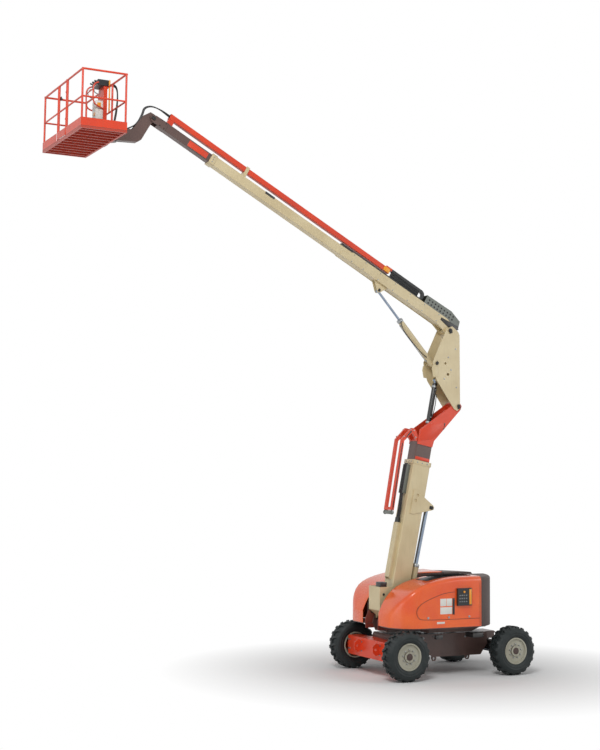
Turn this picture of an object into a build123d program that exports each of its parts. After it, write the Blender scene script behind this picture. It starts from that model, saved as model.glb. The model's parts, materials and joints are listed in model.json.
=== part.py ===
"""Articulating boom lift, raised: a tower, an upright and a telescopic main boom on a swinging turntable."""
from build123d import *
from math import cos, sin, radians
import os

os.makedirs("parts", exist_ok=True)

# Clearances
skin = 0.3
running_gap = 5.0
slide_gap = 10.0

# Wheels and axles
wheelbase = 2500.0
track = 2110.0
tyre_radius = 485.0
tyre_width = 350.0
tyre_shoulder = 58.0
rim_radius = 249.0
rim_lip = 13.0
rim_width = 300.0
rim_wall = 12.0
disc_thickness = 16.0
disc_inset = 60.0
hub_radius = 104.0
drive_hub_radius = 130.0
axle_depth = 320.0
axle_bottom = 330.0
axle_top = 700.0
axle_tyre_gap = 22.0
lug_width = 120.0
lug_reach = 150.0
lug_plate = 24.0
lug_bore = 26.0
lug_offset = 380.0
steer_beam_width = 170.0
steer_beam_bottom = 395.0
steer_beam_top = 615.0
yoke_plate = 25.0
kingpin_radius = 26.0
kingpin_inset = 80.0
knuckle_width = 100.0
spindle_radius = 62.0
steer_cylinder_radius = 40.0
steer_rod_radius = 18.0
steer_rod_reach = 560.0

# Chassis
frame_half_width = 430.0
frame_bottom = 345.0
frame_top = 800.0
frame_rear_gap = 160.0
frame_rear = wheelbase / 2 - frame_rear_gap
frame_heel = 165.0
frame_wall = 14.0
nose_half_width = 210.0
nose_length = 330.0
nose_bottom = 632.0
side_lug_front = -200.0
side_lug_rear = 600.0
side_lug_width = 110.0
side_lug_drop = 80.0
side_lug_bore_gap = 6.0
bearing_radius = 400.0
bearing_bore = 300.0
bearing_height = 50.0

# Turntable
base_plate = 22.0
base_radius = 470.0
web_half_gap = 215.0
web_plate = 20.0
deck_bottom = 985.0
deck_plate = 15.0
hood_half_width = 1120.0
hood_inner = 310.0
hood_front = -1430.0
hood_rear = 474.0
hood_top = 1985.0
hood_wall = 8.0
hood_bottom_gap = 0.3
wall_plate = 12.0
tail_radius = 1200.0
tail_corner_gap = 115.0
tail_half_width = tail_radius - tail_corner_gap
tail_top = 1962.0
tail_start = 482.0
tail_web_bottom = 882.0
tail_web_top = 1035.0

# Tower pivot and foot block
pivot_x = -1060.0
pivot_z = 1640.0
pivot_pin = 40.0
foot_front = -1342.0
foot_top = 1745.0

# Tower
tower_tilt = 11.2
tower_depth = 410.0
tower_width = 340.0
tower_wall = 10.0
tower_edge = 15.0
tower_length = 2715.0
tower_tail = 60.0
tower_fly_wall = 10.0
tower_fly_start = 1000.0
tower_fly_end = 3200.0
crank_plate = 15.0
crank_along = 4011.0
crank_across = 850.0
guard_in = 85.0
guard_out = 145.0
trough_width = 160.0
trough_depth = 70.0

# Lower lift cylinder
lift_base_x = -620.0
lift_base_z = 1060.0
gusset_along = 1824.0
gusset_across = 612.0
gusset_plate = 18.0
lift_barrel_radius = 74.0
lift_rod_radius = 42.0
lift_rod_start = 1062.0
lift_barrel_length = 1130.0
lift_pin = 30.0

# Level cylinder
level_start = 2040.0
level_gland = 3420.0
level_barrel_radius = 45.0
level_rod_radius = 28.0
level_rod_start = 1022.0
level_pin = 20.0
level_lug_in = 46.0
level_lug_plate = 16.0

# Upright
upright_plate = 16.0
upright_pin = 32.0
level_eye_x = 109.0
level_eye_z = 5954.0

# Main boom
boom_x = 343.0
boom_z = 6984.0
boom_angle = 28.3
boom_pin = 35.0
boom_width = 190.0
boom_depth = 190.0
boom_wall = 8.0
boom_under = 15.0
boom_start = 90.0
boom_length = 6260.0
boom_fly_wall = 8.0
boom_fly_start = 2400.0
boom_fly_end = 7480.0
tip_along = 7600.0
tip_across = 100.0
tip_pin = 28.0
push_start = 1770.0
push_end = 7338.0
push_low = 300.0
push_width = 100.0
push_depth = 110.0
push_wall = 6.0

# Upper lift cylinder
upper_base_x = 10.0
upper_base_z = 6281.0
upper_eye_along = 1800.0
upper_eye_across = -125.0
upper_barrel_radius = 58.0
upper_rod_radius = 25.0
upper_rod_start = 430.0
upper_barrel_length = 1180.0
upper_pin = 20.0

# Platform
turn_x = -7105.0
turn_radius = 100.0
turn_bottom = 10165.0
turn_top = 10440.0
floor_bottom = 10054.0
floor_depth = 40.0
deck_sheet = 5.0
platform_length = 2300.0
platform_width = 870.0
platform_inset = 115.0
rail_radius = 19.0
mid_rail_radius = 16.0
rail_height = 1100.0
mid_rail_height = 580.0
toe_height = 150.0
toe_sheet = 4.0
gate_width = 500.0


# Directions and planes
tower_rad = radians(tower_tilt)
tower_dir = (sin(tower_rad), 0, cos(tower_rad))
tower_side = Plane(origin=(pivot_x, 0, pivot_z), x_dir=tower_dir, z_dir=(0, 1, 0))
boom_rad = radians(boom_angle)
boom_dir = (-cos(boom_rad), 0, sin(boom_rad))
boom_side = Plane(origin=(boom_x, 0, boom_z), x_dir=boom_dir, z_dir=(0, 1, 0))
level_side = Plane(origin=(0, 0, 0), x_dir=(-1, 0, 0), z_dir=(0, 1, 0))


def at_tower(along, across):
    """The point of the tower's side plane at these lengths, in the machine's frame."""
    return tower_side.from_local_coords(Vector(along, across, 0))


def at_boom(along, across):
    """The point of the main boom's side plane at these lengths, in the machine's frame."""
    return boom_side.from_local_coords(Vector(along, across, 0))


def slab(plane, points, low, high, holes=()):
    """A plate of the outline's shape between two offsets from a side plane."""
    with BuildPart() as made:
        with BuildSketch(plane.offset(low)):
            with BuildLine():
                Polyline(*points, close=True)
            make_face()
            for across, up, radius in holes:
                with Locations((across, up)):
                    Circle(radius, mode=Mode.SUBTRACT)
        extrude(amount=high - low)
    return made.part


def pair(plane, points, near, far, holes=()):
    """The same plate on both sides of the machine's middle plane."""
    return slab(plane, points, near, far, holes) + slab(plane, points, -far, -near, holes)


def bar(start, end, radius, bore=0.0):
    """A round bar or tube between two points."""
    first = Vector(start)
    way = Vector(end) - first
    with BuildPart() as made:
        with BuildSketch(Plane(origin=first, z_dir=way)):
            Circle(radius)
            if bore:
                Circle(bore, mode=Mode.SUBTRACT)
        extrude(amount=way.length)
    return made.part


def cross_pin(point, radius, half, bore=0.0):
    """A round bar or tube across the machine at a point of the middle plane."""
    return bar((point.X, -half, point.Z), (point.X, half, point.Z), radius, bore)


def box(x0, x1, y0, y1, z0, z1):
    """A plain block between the given faces."""
    with BuildPart() as made:
        with Locations(((x0 + x1) / 2, (y0 + y1) / 2, (z0 + z1) / 2)):
            Box(x1 - x0, y1 - y0, z1 - z0)
    return made.part


def box_tube(plane, start, end, low, depth, width, wall):
    """A rectangular tube along a side plane's first direction, its lower face at the height given."""
    origin = plane.from_local_coords(Vector(start, low + depth / 2, 0))
    section = Plane(origin=origin, x_dir=(0, 1, 0), z_dir=plane.x_dir)
    with BuildPart() as made:
        with BuildSketch(section):
            RectangleRounded(width, depth, 2 * wall)
            RectangleRounded(width - 2 * wall, depth - 2 * wall, wall, mode=Mode.SUBTRACT)
        extrude(amount=end - start)
    return made.part


def save(made, name):
    """Label a finished piece and write it."""
    made.label = name
    export_step(made, "parts/" + name + ".step")


# Wheels: a tyre and its rim at each corner
half_base = wheelbase / 2
half_track = track / 2
corners = {
    "fixed_near": (-half_base, -half_track),
    "fixed_far": (-half_base, half_track),
    "steer_near": (half_base, -half_track),
    "steer_far": (half_base, half_track),
}
disc_face = tyre_width / 2 - disc_inset
for corner, (wheel_x, wheel_y) in corners.items():
    out = -1 if wheel_y < 0 else 1
    wheel_plane = Plane(origin=(wheel_x, wheel_y, tyre_radius), x_dir=(0, out, 0), z_dir=(out, 0, 0))
    wheel_axis = Axis((wheel_x, wheel_y, tyre_radius), (0, 1, 0))
    with BuildPart() as tyre:
        with BuildSketch(wheel_plane):
            with BuildLine():
                half = tyre_width / 2
                Polyline(
                    (-rim_width / 2 + rim_lip, rim_radius + skin),
                    (rim_width / 2 - rim_lip, rim_radius + skin),
                    (rim_width / 2 - rim_lip, rim_radius + rim_lip + skin),
                    (half - 14, rim_radius + 60),
                    (half, tyre_radius - 2 * tyre_shoulder),
                    (half - 10, tyre_radius - tyre_shoulder),
                    (half - tyre_shoulder, tyre_radius),
                    (-half + tyre_shoulder, tyre_radius),
                    (-half + 10, tyre_radius - tyre_shoulder),
                    (-half, tyre_radius - 2 * tyre_shoulder),
                    (-half + 14, rim_radius + 60),
                    (-rim_width / 2 + rim_lip, rim_radius + rim_lip + skin),
                    close=True,
                )
            make_face()
        revolve(axis=wheel_axis)
    save(tyre.part, "tyre_" + corner)
    with BuildPart() as rim:
        with BuildSketch(wheel_plane):
            with BuildLine():
                Polyline(
                    (-rim_width / 2, rim_radius + rim_lip),
                    (-rim_width / 2 + rim_lip - skin, rim_radius + rim_lip),
                    (-rim_width / 2 + rim_lip - skin, rim_radius),
                    (rim_width / 2 - rim_lip + skin, rim_radius),
                    (rim_width / 2 - rim_lip + skin, rim_radius + rim_lip),
                    (rim_width / 2, rim_radius + rim_lip),
                    (rim_width / 2, rim_radius - rim_wall),
                    (disc_face, rim_radius - 2 * rim_wall),
                    (disc_face, hub_radius),
                    (disc_face + 30, hub_radius),
                    (disc_face + 30, 0),
                    (disc_face - disc_thickness, 0),
                    (disc_face - disc_thickness, rim_radius - 2 * rim_wall),
                    (-rim_width / 2, rim_radius - rim_wall),
                    close=True,
                )
            make_face()
        revolve(axis=wheel_axis)
    save(rim.part, "rim_" + corner)

# Fixed axle: a box beam with drive hubs and two curved tie-down lugs
hub_face = half_track + disc_face - disc_thickness - skin
axle_half = half_track - tyre_width / 2 - axle_tyre_gap
axle_front = -half_base - 200
axle_back = axle_front + axle_depth
axle_beam = box(axle_front, axle_back, -axle_half, axle_half, axle_bottom, axle_top)
drive_hubs = bar((-half_base, axle_half - 40, tyre_radius), (-half_base, hub_face, tyre_radius), drive_hub_radius)
drive_hubs += bar((-half_base, -axle_half + 40, tyre_radius), (-half_base, -hub_face, tyre_radius), drive_hub_radius)
lugs = None
lug_points = [
    (axle_front + 2, 640), (axle_front - 60, 668), (axle_front - lug_reach, 610),
    (axle_front - lug_reach, 480), (axle_front - 70, 420), (axle_front + 2, 450),
]
for lug_y in (-lug_offset, lug_offset - 30):
    lug = slab(Plane.XZ, lug_points, -lug_y - lug_plate / 2, -lug_y + lug_plate / 2,
               [(axle_front - 88, 545, lug_bore)])
    lugs = lug if lugs is None else lugs + lug
with BuildPart() as fixed_axle:
    add(axle_beam)
    add(drive_hubs)
    add(lugs)
save(fixed_axle.part, "fixed_axle")

# Chassis frame: a tapered box with a nose over the steering axle
frame_points = [
    (axle_back, 610), (-150, frame_bottom), (frame_rear - frame_heel, frame_bottom), (frame_rear, 560), (frame_rear - 15, frame_top),
    (axle_back + 30, frame_top), (axle_back, 740),
]
frame_shell = slab(Plane.XZ, frame_points, -frame_half_width, frame_half_width)
inner_points = [
    (axle_back + frame_wall, 625), (-150, frame_bottom + frame_wall), (frame_rear - frame_heel - 10, frame_bottom + frame_wall),
    (frame_rear - frame_wall, 570), (frame_rear - 30, frame_top - frame_wall),
    (axle_back + 44, frame_top - frame_wall), (axle_back + frame_wall, 730),
]
frame_core = slab(Plane.XZ, inner_points, -frame_half_width + frame_wall, frame_half_width - frame_wall)
nose = box(frame_rear - 40, frame_rear + nose_length, -nose_half_width, nose_half_width, nose_bottom, frame_top - 20)
nose_lugs = None
nose_end = frame_rear + nose_length
for lug_y in (-120, 120):
    lug = slab(Plane.XZ, [(nose_end - 2, 655), (nose_end + 60, 640), (nose_end + lug_reach - 30, 680),
                          (nose_end + lug_reach - 30, 730), (nose_end + 50, 765), (nose_end - 2, 760)],
               -lug_y - lug_plate / 2, -lug_y + lug_plate / 2, [(nose_end + 70, 702, lug_bore)])
    nose_lugs = lug if nose_lugs is None else nose_lugs + lug
side_lug_bore_z = frame_bottom - lug_bore - side_lug_bore_gap
side_lugs = []
for lug_x in (side_lug_front, side_lug_rear):
    half_lug = side_lug_width / 2
    side_lugs.append(pair(
        Plane.XZ,
        [(lug_x - half_lug, frame_bottom + 40), (lug_x - half_lug, frame_bottom - 30),
         (lug_x - 28, frame_bottom - side_lug_drop), (lug_x + 28, frame_bottom - side_lug_drop),
         (lug_x + half_lug, frame_bottom - 30), (lug_x + half_lug, frame_bottom + 40)],
        frame_half_width - lug_plate, frame_half_width, [(lug_x, side_lug_bore_z, lug_bore)]))
with BuildPart() as chassis_frame:
    add(frame_shell)
    add(frame_core, mode=Mode.SUBTRACT)
    add(nose)
    add(nose_lugs)
    add(side_lugs)
save(chassis_frame.part, "chassis_frame")

# Steering axle: a beam with a yoke at each end and the steering cylinder beside it
kingpin_y = half_track - tyre_width / 2 - kingpin_inset
yoke_in = kingpin_y - 115
yoke_out = kingpin_y + 52
beam_x0 = half_base - steer_beam_width / 2
beam_x1 = half_base + steer_beam_width / 2
steer_parts = box(beam_x0, beam_x1, -yoke_in, yoke_in, steer_beam_bottom, steer_beam_top)
steer_parts += box(half_base - 60, half_base + 60, -nose_half_width + 40, nose_half_width - 40, steer_beam_top - 5, nose_bottom)
for end in (-1, 1):
    for low in (steer_beam_bottom, steer_beam_top - yoke_plate):
        y0, y1 = sorted((end * (yoke_in - 20), end * yoke_out))
        steer_parts += box(half_base - 62, half_base + 62, y0, y1, low, low + yoke_plate)
with BuildPart() as steer_axle:
    add(steer_parts)
    for end in (-1, 1):
        with Locations((half_base, end * kingpin_y, 500)):
            Cylinder(kingpin_radius + skin, 400, mode=Mode.SUBTRACT)
save(steer_axle.part, "steer_axle")

link_x = beam_x0 - steer_cylinder_radius - skin
link_z = steer_beam_bottom + steer_cylinder_radius + 10
steer_link = bar((link_x, -190, link_z), (link_x, 190, link_z), steer_cylinder_radius)
steer_link += bar((link_x, -steer_rod_reach, link_z), (link_x, steer_rod_reach, link_z), steer_rod_radius)
save(steer_link, "steer_cylinder")

# Knuckles: kingpin, hub block, spindle and steering arm
for side_name, end in (("near", -1), ("far", 1)):
    pin_y = end * kingpin_y
    block_low = steer_beam_bottom + yoke_plate + running_gap
    block_high = steer_beam_top - yoke_plate - running_gap
    y0, y1 = sorted((pin_y - end * 42, pin_y + end * 46))
    body = box(half_base - knuckle_width / 2, half_base + knuckle_width / 2, y0, y1, block_low, block_high)
    body += bar((half_base, pin_y, steer_beam_bottom - 45), (half_base, pin_y, steer_beam_top + 8), kingpin_radius)
    body += bar((half_base, pin_y + end * 40, tyre_radius), (half_base, end * hub_face, tyre_radius), spindle_radius)
    arm = [(half_base + 34, pin_y + 34), (half_base + 34, pin_y - 34), (half_base - 120, pin_y - end * 85 - 26),
           (half_base - 150, pin_y - end * 85), (half_base - 120, pin_y - end * 85 + 26)]
    if end > 0:
        arm = [(half_base + 34, pin_y - 34), (half_base + 34, pin_y + 34), (half_base - 120, pin_y - end * 85 + 26),
               (half_base - 150, pin_y - end * 85), (half_base - 120, pin_y - end * 85 - 26)]
    body += slab(Plane.XY.offset(steer_beam_bottom - 45), arm, 0, 24)
    save(body, "knuckle_" + side_name)

# Swing bearing on the chassis
with BuildPart() as swing_bearing:
    with BuildSketch(Plane.XY.offset(frame_top)):
        Circle(bearing_radius)
        Circle(bearing_bore, mode=Mode.SUBTRACT)
    extrude(amount=bearing_height)
save(swing_bearing.part, "swing_bearing")

# Turntable base: a round plate, two webs along the tower's channel and a deck on each side
base_low = frame_top + bearing_height + skin
base_high = base_low + base_plate
web_out = web_half_gap + web_plate
with BuildPart() as base_disc:
    with BuildSketch(Plane.XY.offset(base_low)):
        Circle(base_radius)
        Rectangle(1180, 2 * web_out)
    extrude(amount=base_plate)
web_points = [
    (-1180, base_low), (-1250, 1010), (-1200, 1160), (-860, 1330), (-420, 1180), (560, 1120),
    (tail_start + 160, 1040), (tail_start + 160, 900), (560, base_low),
]
webs = pair(Plane.XZ, web_points, web_half_gap, web_out)
lift_lug_in = lift_barrel_radius + running_gap
lift_lug_out = lift_lug_in + 20
base_lugs = pair(Plane.XZ, [(lift_base_x - 90, base_high - 2), (lift_base_x - 60, lift_base_z + 40),
                            (lift_base_x, lift_base_z + 62), (lift_base_x + 60, lift_base_z + 40),
                            (lift_base_x + 90, base_high - 2)], lift_lug_in, lift_lug_out)
base_pin = cross_pin(Vector(lift_base_x, 0, lift_base_z), lift_pin, lift_lug_out + 8)
base_floor = box(-1180, -560, -web_half_gap, web_half_gap, base_low, base_high)


def hood_plan(side, inset):
    """The hood's outline from above, on one side, drawn in by the inset."""
    front = hood_front + inset
    back = hood_rear - inset
    outer = hood_half_width - inset
    inner = hood_inner
    return [
        (back, side * inner), (back, side * outer), (-860, side * outer), (-1180, side * (outer - 75)),
        (front + 70, side * (outer - 235)), (front, side * (outer - 420)), (front, side * (inner + 60)),
        (front + 60, side * inner),
    ]


decks = None
for side in (-1, 1):
    plan = hood_plan(side, 12.0)
    plan[0] = (plan[0][0], side * web_out)
    plan[-1] = (plan[-1][0], side * web_out)
    deck = slab(Plane.XY, plan, deck_bottom, deck_bottom + deck_plate)
    decks = deck if decks is None else decks + deck
with BuildPart() as turntable_base:
    add(base_disc.part)
    add(base_floor)
    add(webs)
    add(base_lugs)
    add(base_pin)
    add(decks)
save(turntable_base.part, "turntable_base")

# Foot block: two plates, a front cover and the tower's pin
foot_in = tower_width / 2 + running_gap + 5
foot_out = web_half_gap
foot_points = [
    (foot_front + 16, 1281), (foot_front + 16, foot_top), (-960, foot_top), (-850, 1560), (-850, 1100),
    (-1176, 1100), (-1176, 1175),
]
foot_cover = box(foot_front, foot_front + 16, -foot_out, foot_out, 1281, foot_top)
foot_sole = slab(Plane.XZ, [(foot_front, 1281), (foot_front + 16, 1281), (-1176, 1175), (-1176, 1157)],
                 -foot_out, foot_out)
with BuildPart() as foot_block:
    add(pair(Plane.XZ, foot_points, foot_in, foot_out))
    add(foot_cover)
    add(foot_sole)
    add(cross_pin(Vector(pivot_x, 0, pivot_z), pivot_pin, foot_out + 12))
save(foot_block.part, "foot_block")

# Counterweight: two castings round the tail arc, joined low across the channel
with BuildPart() as counterweight:
    with BuildSketch(Plane.XY.offset(deck_bottom)):
        with BuildLine():
            tail_corner = (tail_radius ** 2 - tail_half_width ** 2) ** 0.5
            Polyline((tail_corner, -tail_half_width), (tail_start, -tail_half_width), (tail_start, tail_half_width),
                     (tail_corner, tail_half_width))
            ThreePointArc((tail_corner, tail_half_width), (tail_radius, 0), (tail_corner, -tail_half_width))
        make_face()
        with Locations((tail_start + 500, 0)):
            Rectangle(1200, 2 * web_out, mode=Mode.SUBTRACT)
    extrude(amount=tail_top - deck_bottom)
    fillet(counterweight.part.faces().sort_by(Axis.Z)[-2:].edges().filter_by(GeomType.CIRCLE), 60)
tail_web = box(tail_start + 430, tail_start + 660, -web_out - 60, web_out + 60, tail_web_bottom, tail_web_top)
save(counterweight.part + tail_web, "counterweight")


def hood_form(side, inset):
    """One hood as a solid: its plan cut by the curved line of its top."""
    plan = hood_plan(side, inset)
    low = deck_bottom + deck_plate + hood_bottom_gap - (40 if inset else 0)
    with BuildPart() as made:
        with BuildSketch(Plane.XY.offset(low)):
            with BuildLine():
                Polyline(*plan, close=True)
            make_face()
        extrude(amount=hood_top - inset - low)
        with BuildSketch(Plane.XZ):
            with BuildLine():
                line = [
                    (hood_front - 60 + inset, 1180), (hood_front + inset, 1260), (-1310 + inset, 1500 - inset),
                    (-1090 + inset, 1722 - inset), (-740, 1872 - inset), (-200, 1968 - inset), (hood_rear + 40, hood_top - inset),
                ]
                Spline(*line)
                Polyline((hood_rear + 40, hood_top - inset), (hood_rear + 40, 2400), (-2000, 2400), (-2000, 1180),
                         (hood_front - 60 + inset, 1180))
            make_face()
        extrude(amount=2000, both=True, mode=Mode.SUBTRACT)
    return made.part


for side_name, side in (("near", -1), ("far", 1)):
    hood = hood_form(side, 0.0) - hood_form(side, hood_wall)
    if side < 0:
        hood = hood - box(-640, 380, side * (hood_inner + 560), side * (hood_inner + 120), 1850, 2050)
    save(hood, "hood_" + side_name)

# Channel walls inside the hoods
wall_points = [
    (hood_front + 100, deck_bottom + deck_plate), (hood_front + 100, 1380), (-1230, 1560), (-1040, 1730), (-720, 1850),
    (-200, 1945), (hood_rear, 1960), (hood_rear, deck_bottom + deck_plate),
]
save(pair(Plane.XZ, wall_points, hood_inner - wall_plate - 10, hood_inner - 10), "channel_walls")

# Louvred engine cover let into the near hood's top
louvre = slab(Plane.XZ, [(-640 + skin, 1886), (-640 + skin, 1900), (-200, 1975), (380 - skin, 1992), (380 - skin, 1970),
                         (-200, 1955)], hood_inner + 120 + skin, hood_inner + 560 - skin)
save(louvre, "louvre_cover")

# Engine under the near hood
save(box(-760, 120, -980, -430, deck_bottom + deck_plate, 1640), "engine_block")

# Control box on the near hood
save(box(-119, 213, -hood_half_width - 46, -hood_half_width - skin, 1420, 1760), "control_box")

# Tower base: a rectangular tube with pivot ears
tower_low = tower_edge
tower_high = tower_edge + tower_depth
tower_half = tower_width / 2
base_tube = box_tube(tower_side, -tower_tail, tower_length, tower_low, tower_depth, tower_width, tower_wall)
ears = pair(tower_side, [(-58, 60), (-72, -20), (-40, -64), (40, -64), (75, -20), (75, 60)],
            tower_half - 22, tower_half - 1)
with BuildPart() as tower_base:
    add(base_tube)
    add(ears)
    add(cross_pin(Vector(pivot_x, 0, pivot_z), 58, tower_half + 2))
    add(cross_pin(Vector(pivot_x, 0, pivot_z), pivot_pin + skin, tower_half + 40), mode=Mode.SUBTRACT)
save(tower_base.part, "tower_base")

# Gusset plates that hold the lower lift cylinder's rod
gusset_points = [
    (2106, 130), (2106, 190), (gusset_along + 52, gusset_across + 30), (gusset_along + 20, gusset_across + 58),
    (gusset_along - 30, gusset_across + 52), (gusset_along - 56, gusset_across), (1618, 205), (1618, 130),
]
save(pair(tower_side, gusset_points, tower_half + skin, tower_half + gusset_plate,
          [(2010, 235, 30), (1900, 205, 30)]), "tower_gussets")

# Trough for the tower's hose chain
trough = slab(tower_side, [(250, tower_edge - skin), (250, tower_edge - trough_depth + 30), (290, tower_edge - trough_depth),
                           (1400, tower_edge - trough_depth), (1400, tower_edge - skin)],
              -trough_width / 2, trough_width / 2)
trough -= slab(tower_side, [(200, tower_edge + 10), (200, tower_edge - trough_depth + 34), (292, tower_edge - trough_depth + 4),
                            (1450, tower_edge - trough_depth + 4), (1450, tower_edge + 10)],
               -trough_width / 2 + 4, trough_width / 2 - 4)
save(trough, "tower_trough")

# Hose chain lying in the trough
chain_seat = tower_edge - trough_depth + 4 + skin
save(slab(tower_side, [(300, chain_seat + 40), (300, chain_seat), (1500, chain_seat), (1500, chain_seat + 40)], -60, 60),
     "tower_chain")

# Slide pads in the tower's mouth
fly_low = tower_low + tower_wall + slide_gap
fly_depth = tower_depth - 2 * tower_wall - 2 * slide_gap
fly_width = tower_width - 2 * tower_wall - 2 * slide_gap
fly_half = fly_width / 2
pads = slab(tower_side, [(2560, tower_low + tower_wall), (2560, fly_low - skin), (2715, fly_low - skin),
                         (2715, tower_low + tower_wall)], -90, 90)
pads += slab(tower_side, [(2560, tower_high - tower_wall), (2560, fly_low + fly_depth + skin),
                          (2715, fly_low + fly_depth + skin), (2715, tower_high - tower_wall)], -90, 90)
pads += pair(tower_side, [(2560, 120), (2560, 320), (2715, 320), (2715, 120)], fly_half + skin, tower_half - tower_wall)
save(pads, "tower_pads")

# Tower fly: the inner tube, with the cranked arm at its head
save(box_tube(tower_side, tower_fly_start, tower_fly_end, fly_low, fly_depth, fly_width, tower_fly_wall), "tower_fly")
crank_in = fly_half + skin
crank_out = crank_in + crank_plate
crank_points = [
    (3040, fly_low), (3040, 400), (3180, 418), (crank_along - 60, crank_across + 78), (crank_along + 20, crank_across + 92),
    (crank_along + 86, crank_across + 30), (crank_along + 84, crank_across - 40), (3340, fly_low),
]
with BuildPart() as crank_arm:
    add(pair(tower_side, crank_points, crank_in, crank_out))
    add(slab(tower_side, [(3200 + skin, 408), (crank_along - 90, crank_across + 56), (crank_along - 86, crank_across + 44),
                          (3200 + skin, 396)], -crank_in, crank_in))
    add(cross_pin(at_tower(crank_along, crank_across), 60, crank_in))
    add(cross_pin(at_tower(crank_along, crank_across), upright_pin + skin, crank_out + 40), mode=Mode.SUBTRACT)
save(crank_arm.part, "crank_arm")

# Guards of the hose chain, carried by the fly's head
guard_points = [
    (1603, -240), (1603, -300), (3060, -335), (3330, -150), (3330, -60), (3190, fly_low - skin), (3090, fly_low - skin),
    (3225, -95), (3225, -125), (3030, -275),
]
guards = pair(tower_side, guard_points, guard_in, guard_out)
guards += slab(tower_side, [(1603, -300), (1603, -290), (1663, -292), (1663, -302)], -guard_in, guard_in)
guards += slab(tower_side, [(3110, fly_low - 10), (3098, fly_low - skin), (3188, fly_low - skin), (3196, fly_low - 10)],
               -guard_in, guard_in)
save(guards, "chain_guards")

# Lower lift cylinder
lift_base = Vector(lift_base_x, 0, lift_base_z)
lift_eye = at_tower(gusset_along, gusset_across)
lift_way = (lift_eye - lift_base).normalized()
barrel = bar(lift_base - lift_way * 40, lift_base + lift_way * lift_barrel_length, lift_barrel_radius)
barrel += cross_pin(lift_base, 56, lift_lug_in - skin)
barrel -= cross_pin(lift_base, lift_pin + skin, 120)
barrel -= bar(lift_base + lift_way * 90, lift_base + lift_way * (lift_barrel_length + 10), lift_rod_radius + skin)
save(barrel, "lift_barrel")
rod = bar(lift_base + lift_way * lift_rod_start, lift_eye - lift_way * 20, lift_rod_radius)
rod += cross_pin(lift_eye, 56, 60)
rod += cross_pin(lift_eye, lift_pin, tower_half - 1)
save(rod, "lift_rod")

# Level cylinder along the fly
level_across = (at_tower(0, 0) - Vector(level_eye_x, 0, level_eye_z))
level_eye = Vector(level_eye_x, 0, level_eye_z)
level_local = tower_side.to_local_coords(level_eye)
level_b = level_local.Y
level_foot = at_tower(level_start, level_b)
level_top = at_tower(level_gland, level_b)
level_way = Vector(*tower_dir)
barrel = bar(level_foot - level_way * 10, level_top, level_barrel_radius)
barrel += cross_pin(level_foot, 36, fly_half - tower_fly_wall)
barrel -= bar(level_foot + level_way * 80, level_top + level_way * 10, level_rod_radius + skin)
save(barrel, "level_barrel")
rod = bar(level_foot + level_way * level_rod_start, level_eye - level_way * 10, level_rod_radius)
rod += cross_pin(level_eye, 40, level_lug_in - 1)
upright_in = crank_out + 7
upright_out = upright_in + upright_plate
save(rod, "level_rod")

# Upright: two plates, a back plate and the pins
upright_points = [
    (-592, 5372), (-579, 6892), (-552, 6960), (-400, 7075), (-268, 7021), (75, 6318), (60, 6180), (-23, 5930),
    (-440, 5352), (-520, 5310),
]
level_lug_out = level_lug_in + level_lug_plate
level_bar = Vector(235, 0, 6035)
level_lug_points = [
    (-level_eye_x + 38, level_eye_z + 22), (-level_eye_x + 38, level_eye_z - 22), (-level_eye_x, level_eye_z - 44),
    (-level_eye_x - 40, level_eye_z - 24), (-level_bar.X - 28, level_bar.Z - 20), (-level_bar.X - 22, level_bar.Z + 26),
    (-level_bar.X + 20, level_bar.Z + 28),
]
hinge_u = at_tower(crank_along, crank_across)
upright_holes = [(-x, z, r) for x, z, r in ((231, 6291, 26), (293, 6065, 30))]
with BuildPart() as upright:
    add(pair(level_side, upright_points, upright_in, upright_out, upright_holes))
    add(box(574, 590, -upright_in, upright_in, 5520, 6500))
    add(cross_pin(hinge_u, upright_pin, upright_out + 10))
    add(cross_pin(Vector(boom_x, 0, boom_z), boom_pin, upright_out + 10))
    add(cross_pin(Vector(upper_base_x, 0, upper_base_z), upper_pin + 6, upright_out + 10))
    add(pair(level_side, level_lug_points, level_lug_in, level_lug_out))
    add(cross_pin(level_bar, 35, upright_in + 1))
    for side in (-1, 1):
        add(bar((level_eye_x, side * (level_lug_out - 1), level_eye_z),
                (level_eye_x, side * (level_lug_out + 12), level_eye_z), level_pin))
save(upright.part, "upright")

# Main boom base: a long tube with side plates, a hinge barrel and lugs for the upper cylinder
boom_low = boom_under
boom_high = boom_under + boom_depth
boom_half = boom_width / 2
boom_tube = box_tube(boom_side, boom_start, boom_length, boom_low, boom_depth, boom_width, boom_wall)
doubler_points = [
    (-70, -50), (-84, 20), (-40, 150), (120, boom_high + 12), (2700, boom_high + 6), (2950, boom_low + 60),
    (2950, boom_low), (300, boom_low - 12), (60, -72),
]
lug_drop = upper_eye_across
lug_shape = [
    (upper_eye_along - 150, boom_low + 1), (upper_eye_along - 44, lug_drop - 20), (upper_eye_along, lug_drop - 44),
    (upper_eye_along + 44, lug_drop - 20), (upper_eye_along + 200, boom_low + 1),
]
guide_along = 5450.0
guide = slab(boom_side, [(guide_along, boom_high - 1), (guide_along, push_low - running_gap),
                         (guide_along + 70, push_low - running_gap), (guide_along + 70, boom_high - 1)], -70, 70)
guide += pair(boom_side, [(guide_along, boom_high - 1), (guide_along, push_low + push_depth + 12),
                          (guide_along + 70, push_low + push_depth + 12), (guide_along + 70, boom_high - 1)],
              push_width / 2 + running_gap, 70)
boom_hinge = Vector(boom_x, 0, boom_z)
with BuildPart() as boom_base:
    add(boom_tube)
    add(pair(boom_side, doubler_points, boom_half - 1, boom_half + 12))
    add(cross_pin(boom_hinge, 62, upright_in - running_gap))
    add(cross_pin(boom_hinge, boom_pin + skin, upright_out + 40), mode=Mode.SUBTRACT)
    add(pair(boom_side, lug_shape, 40, 56))
    add(guide)
save(boom_base.part, "boom_base")

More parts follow.
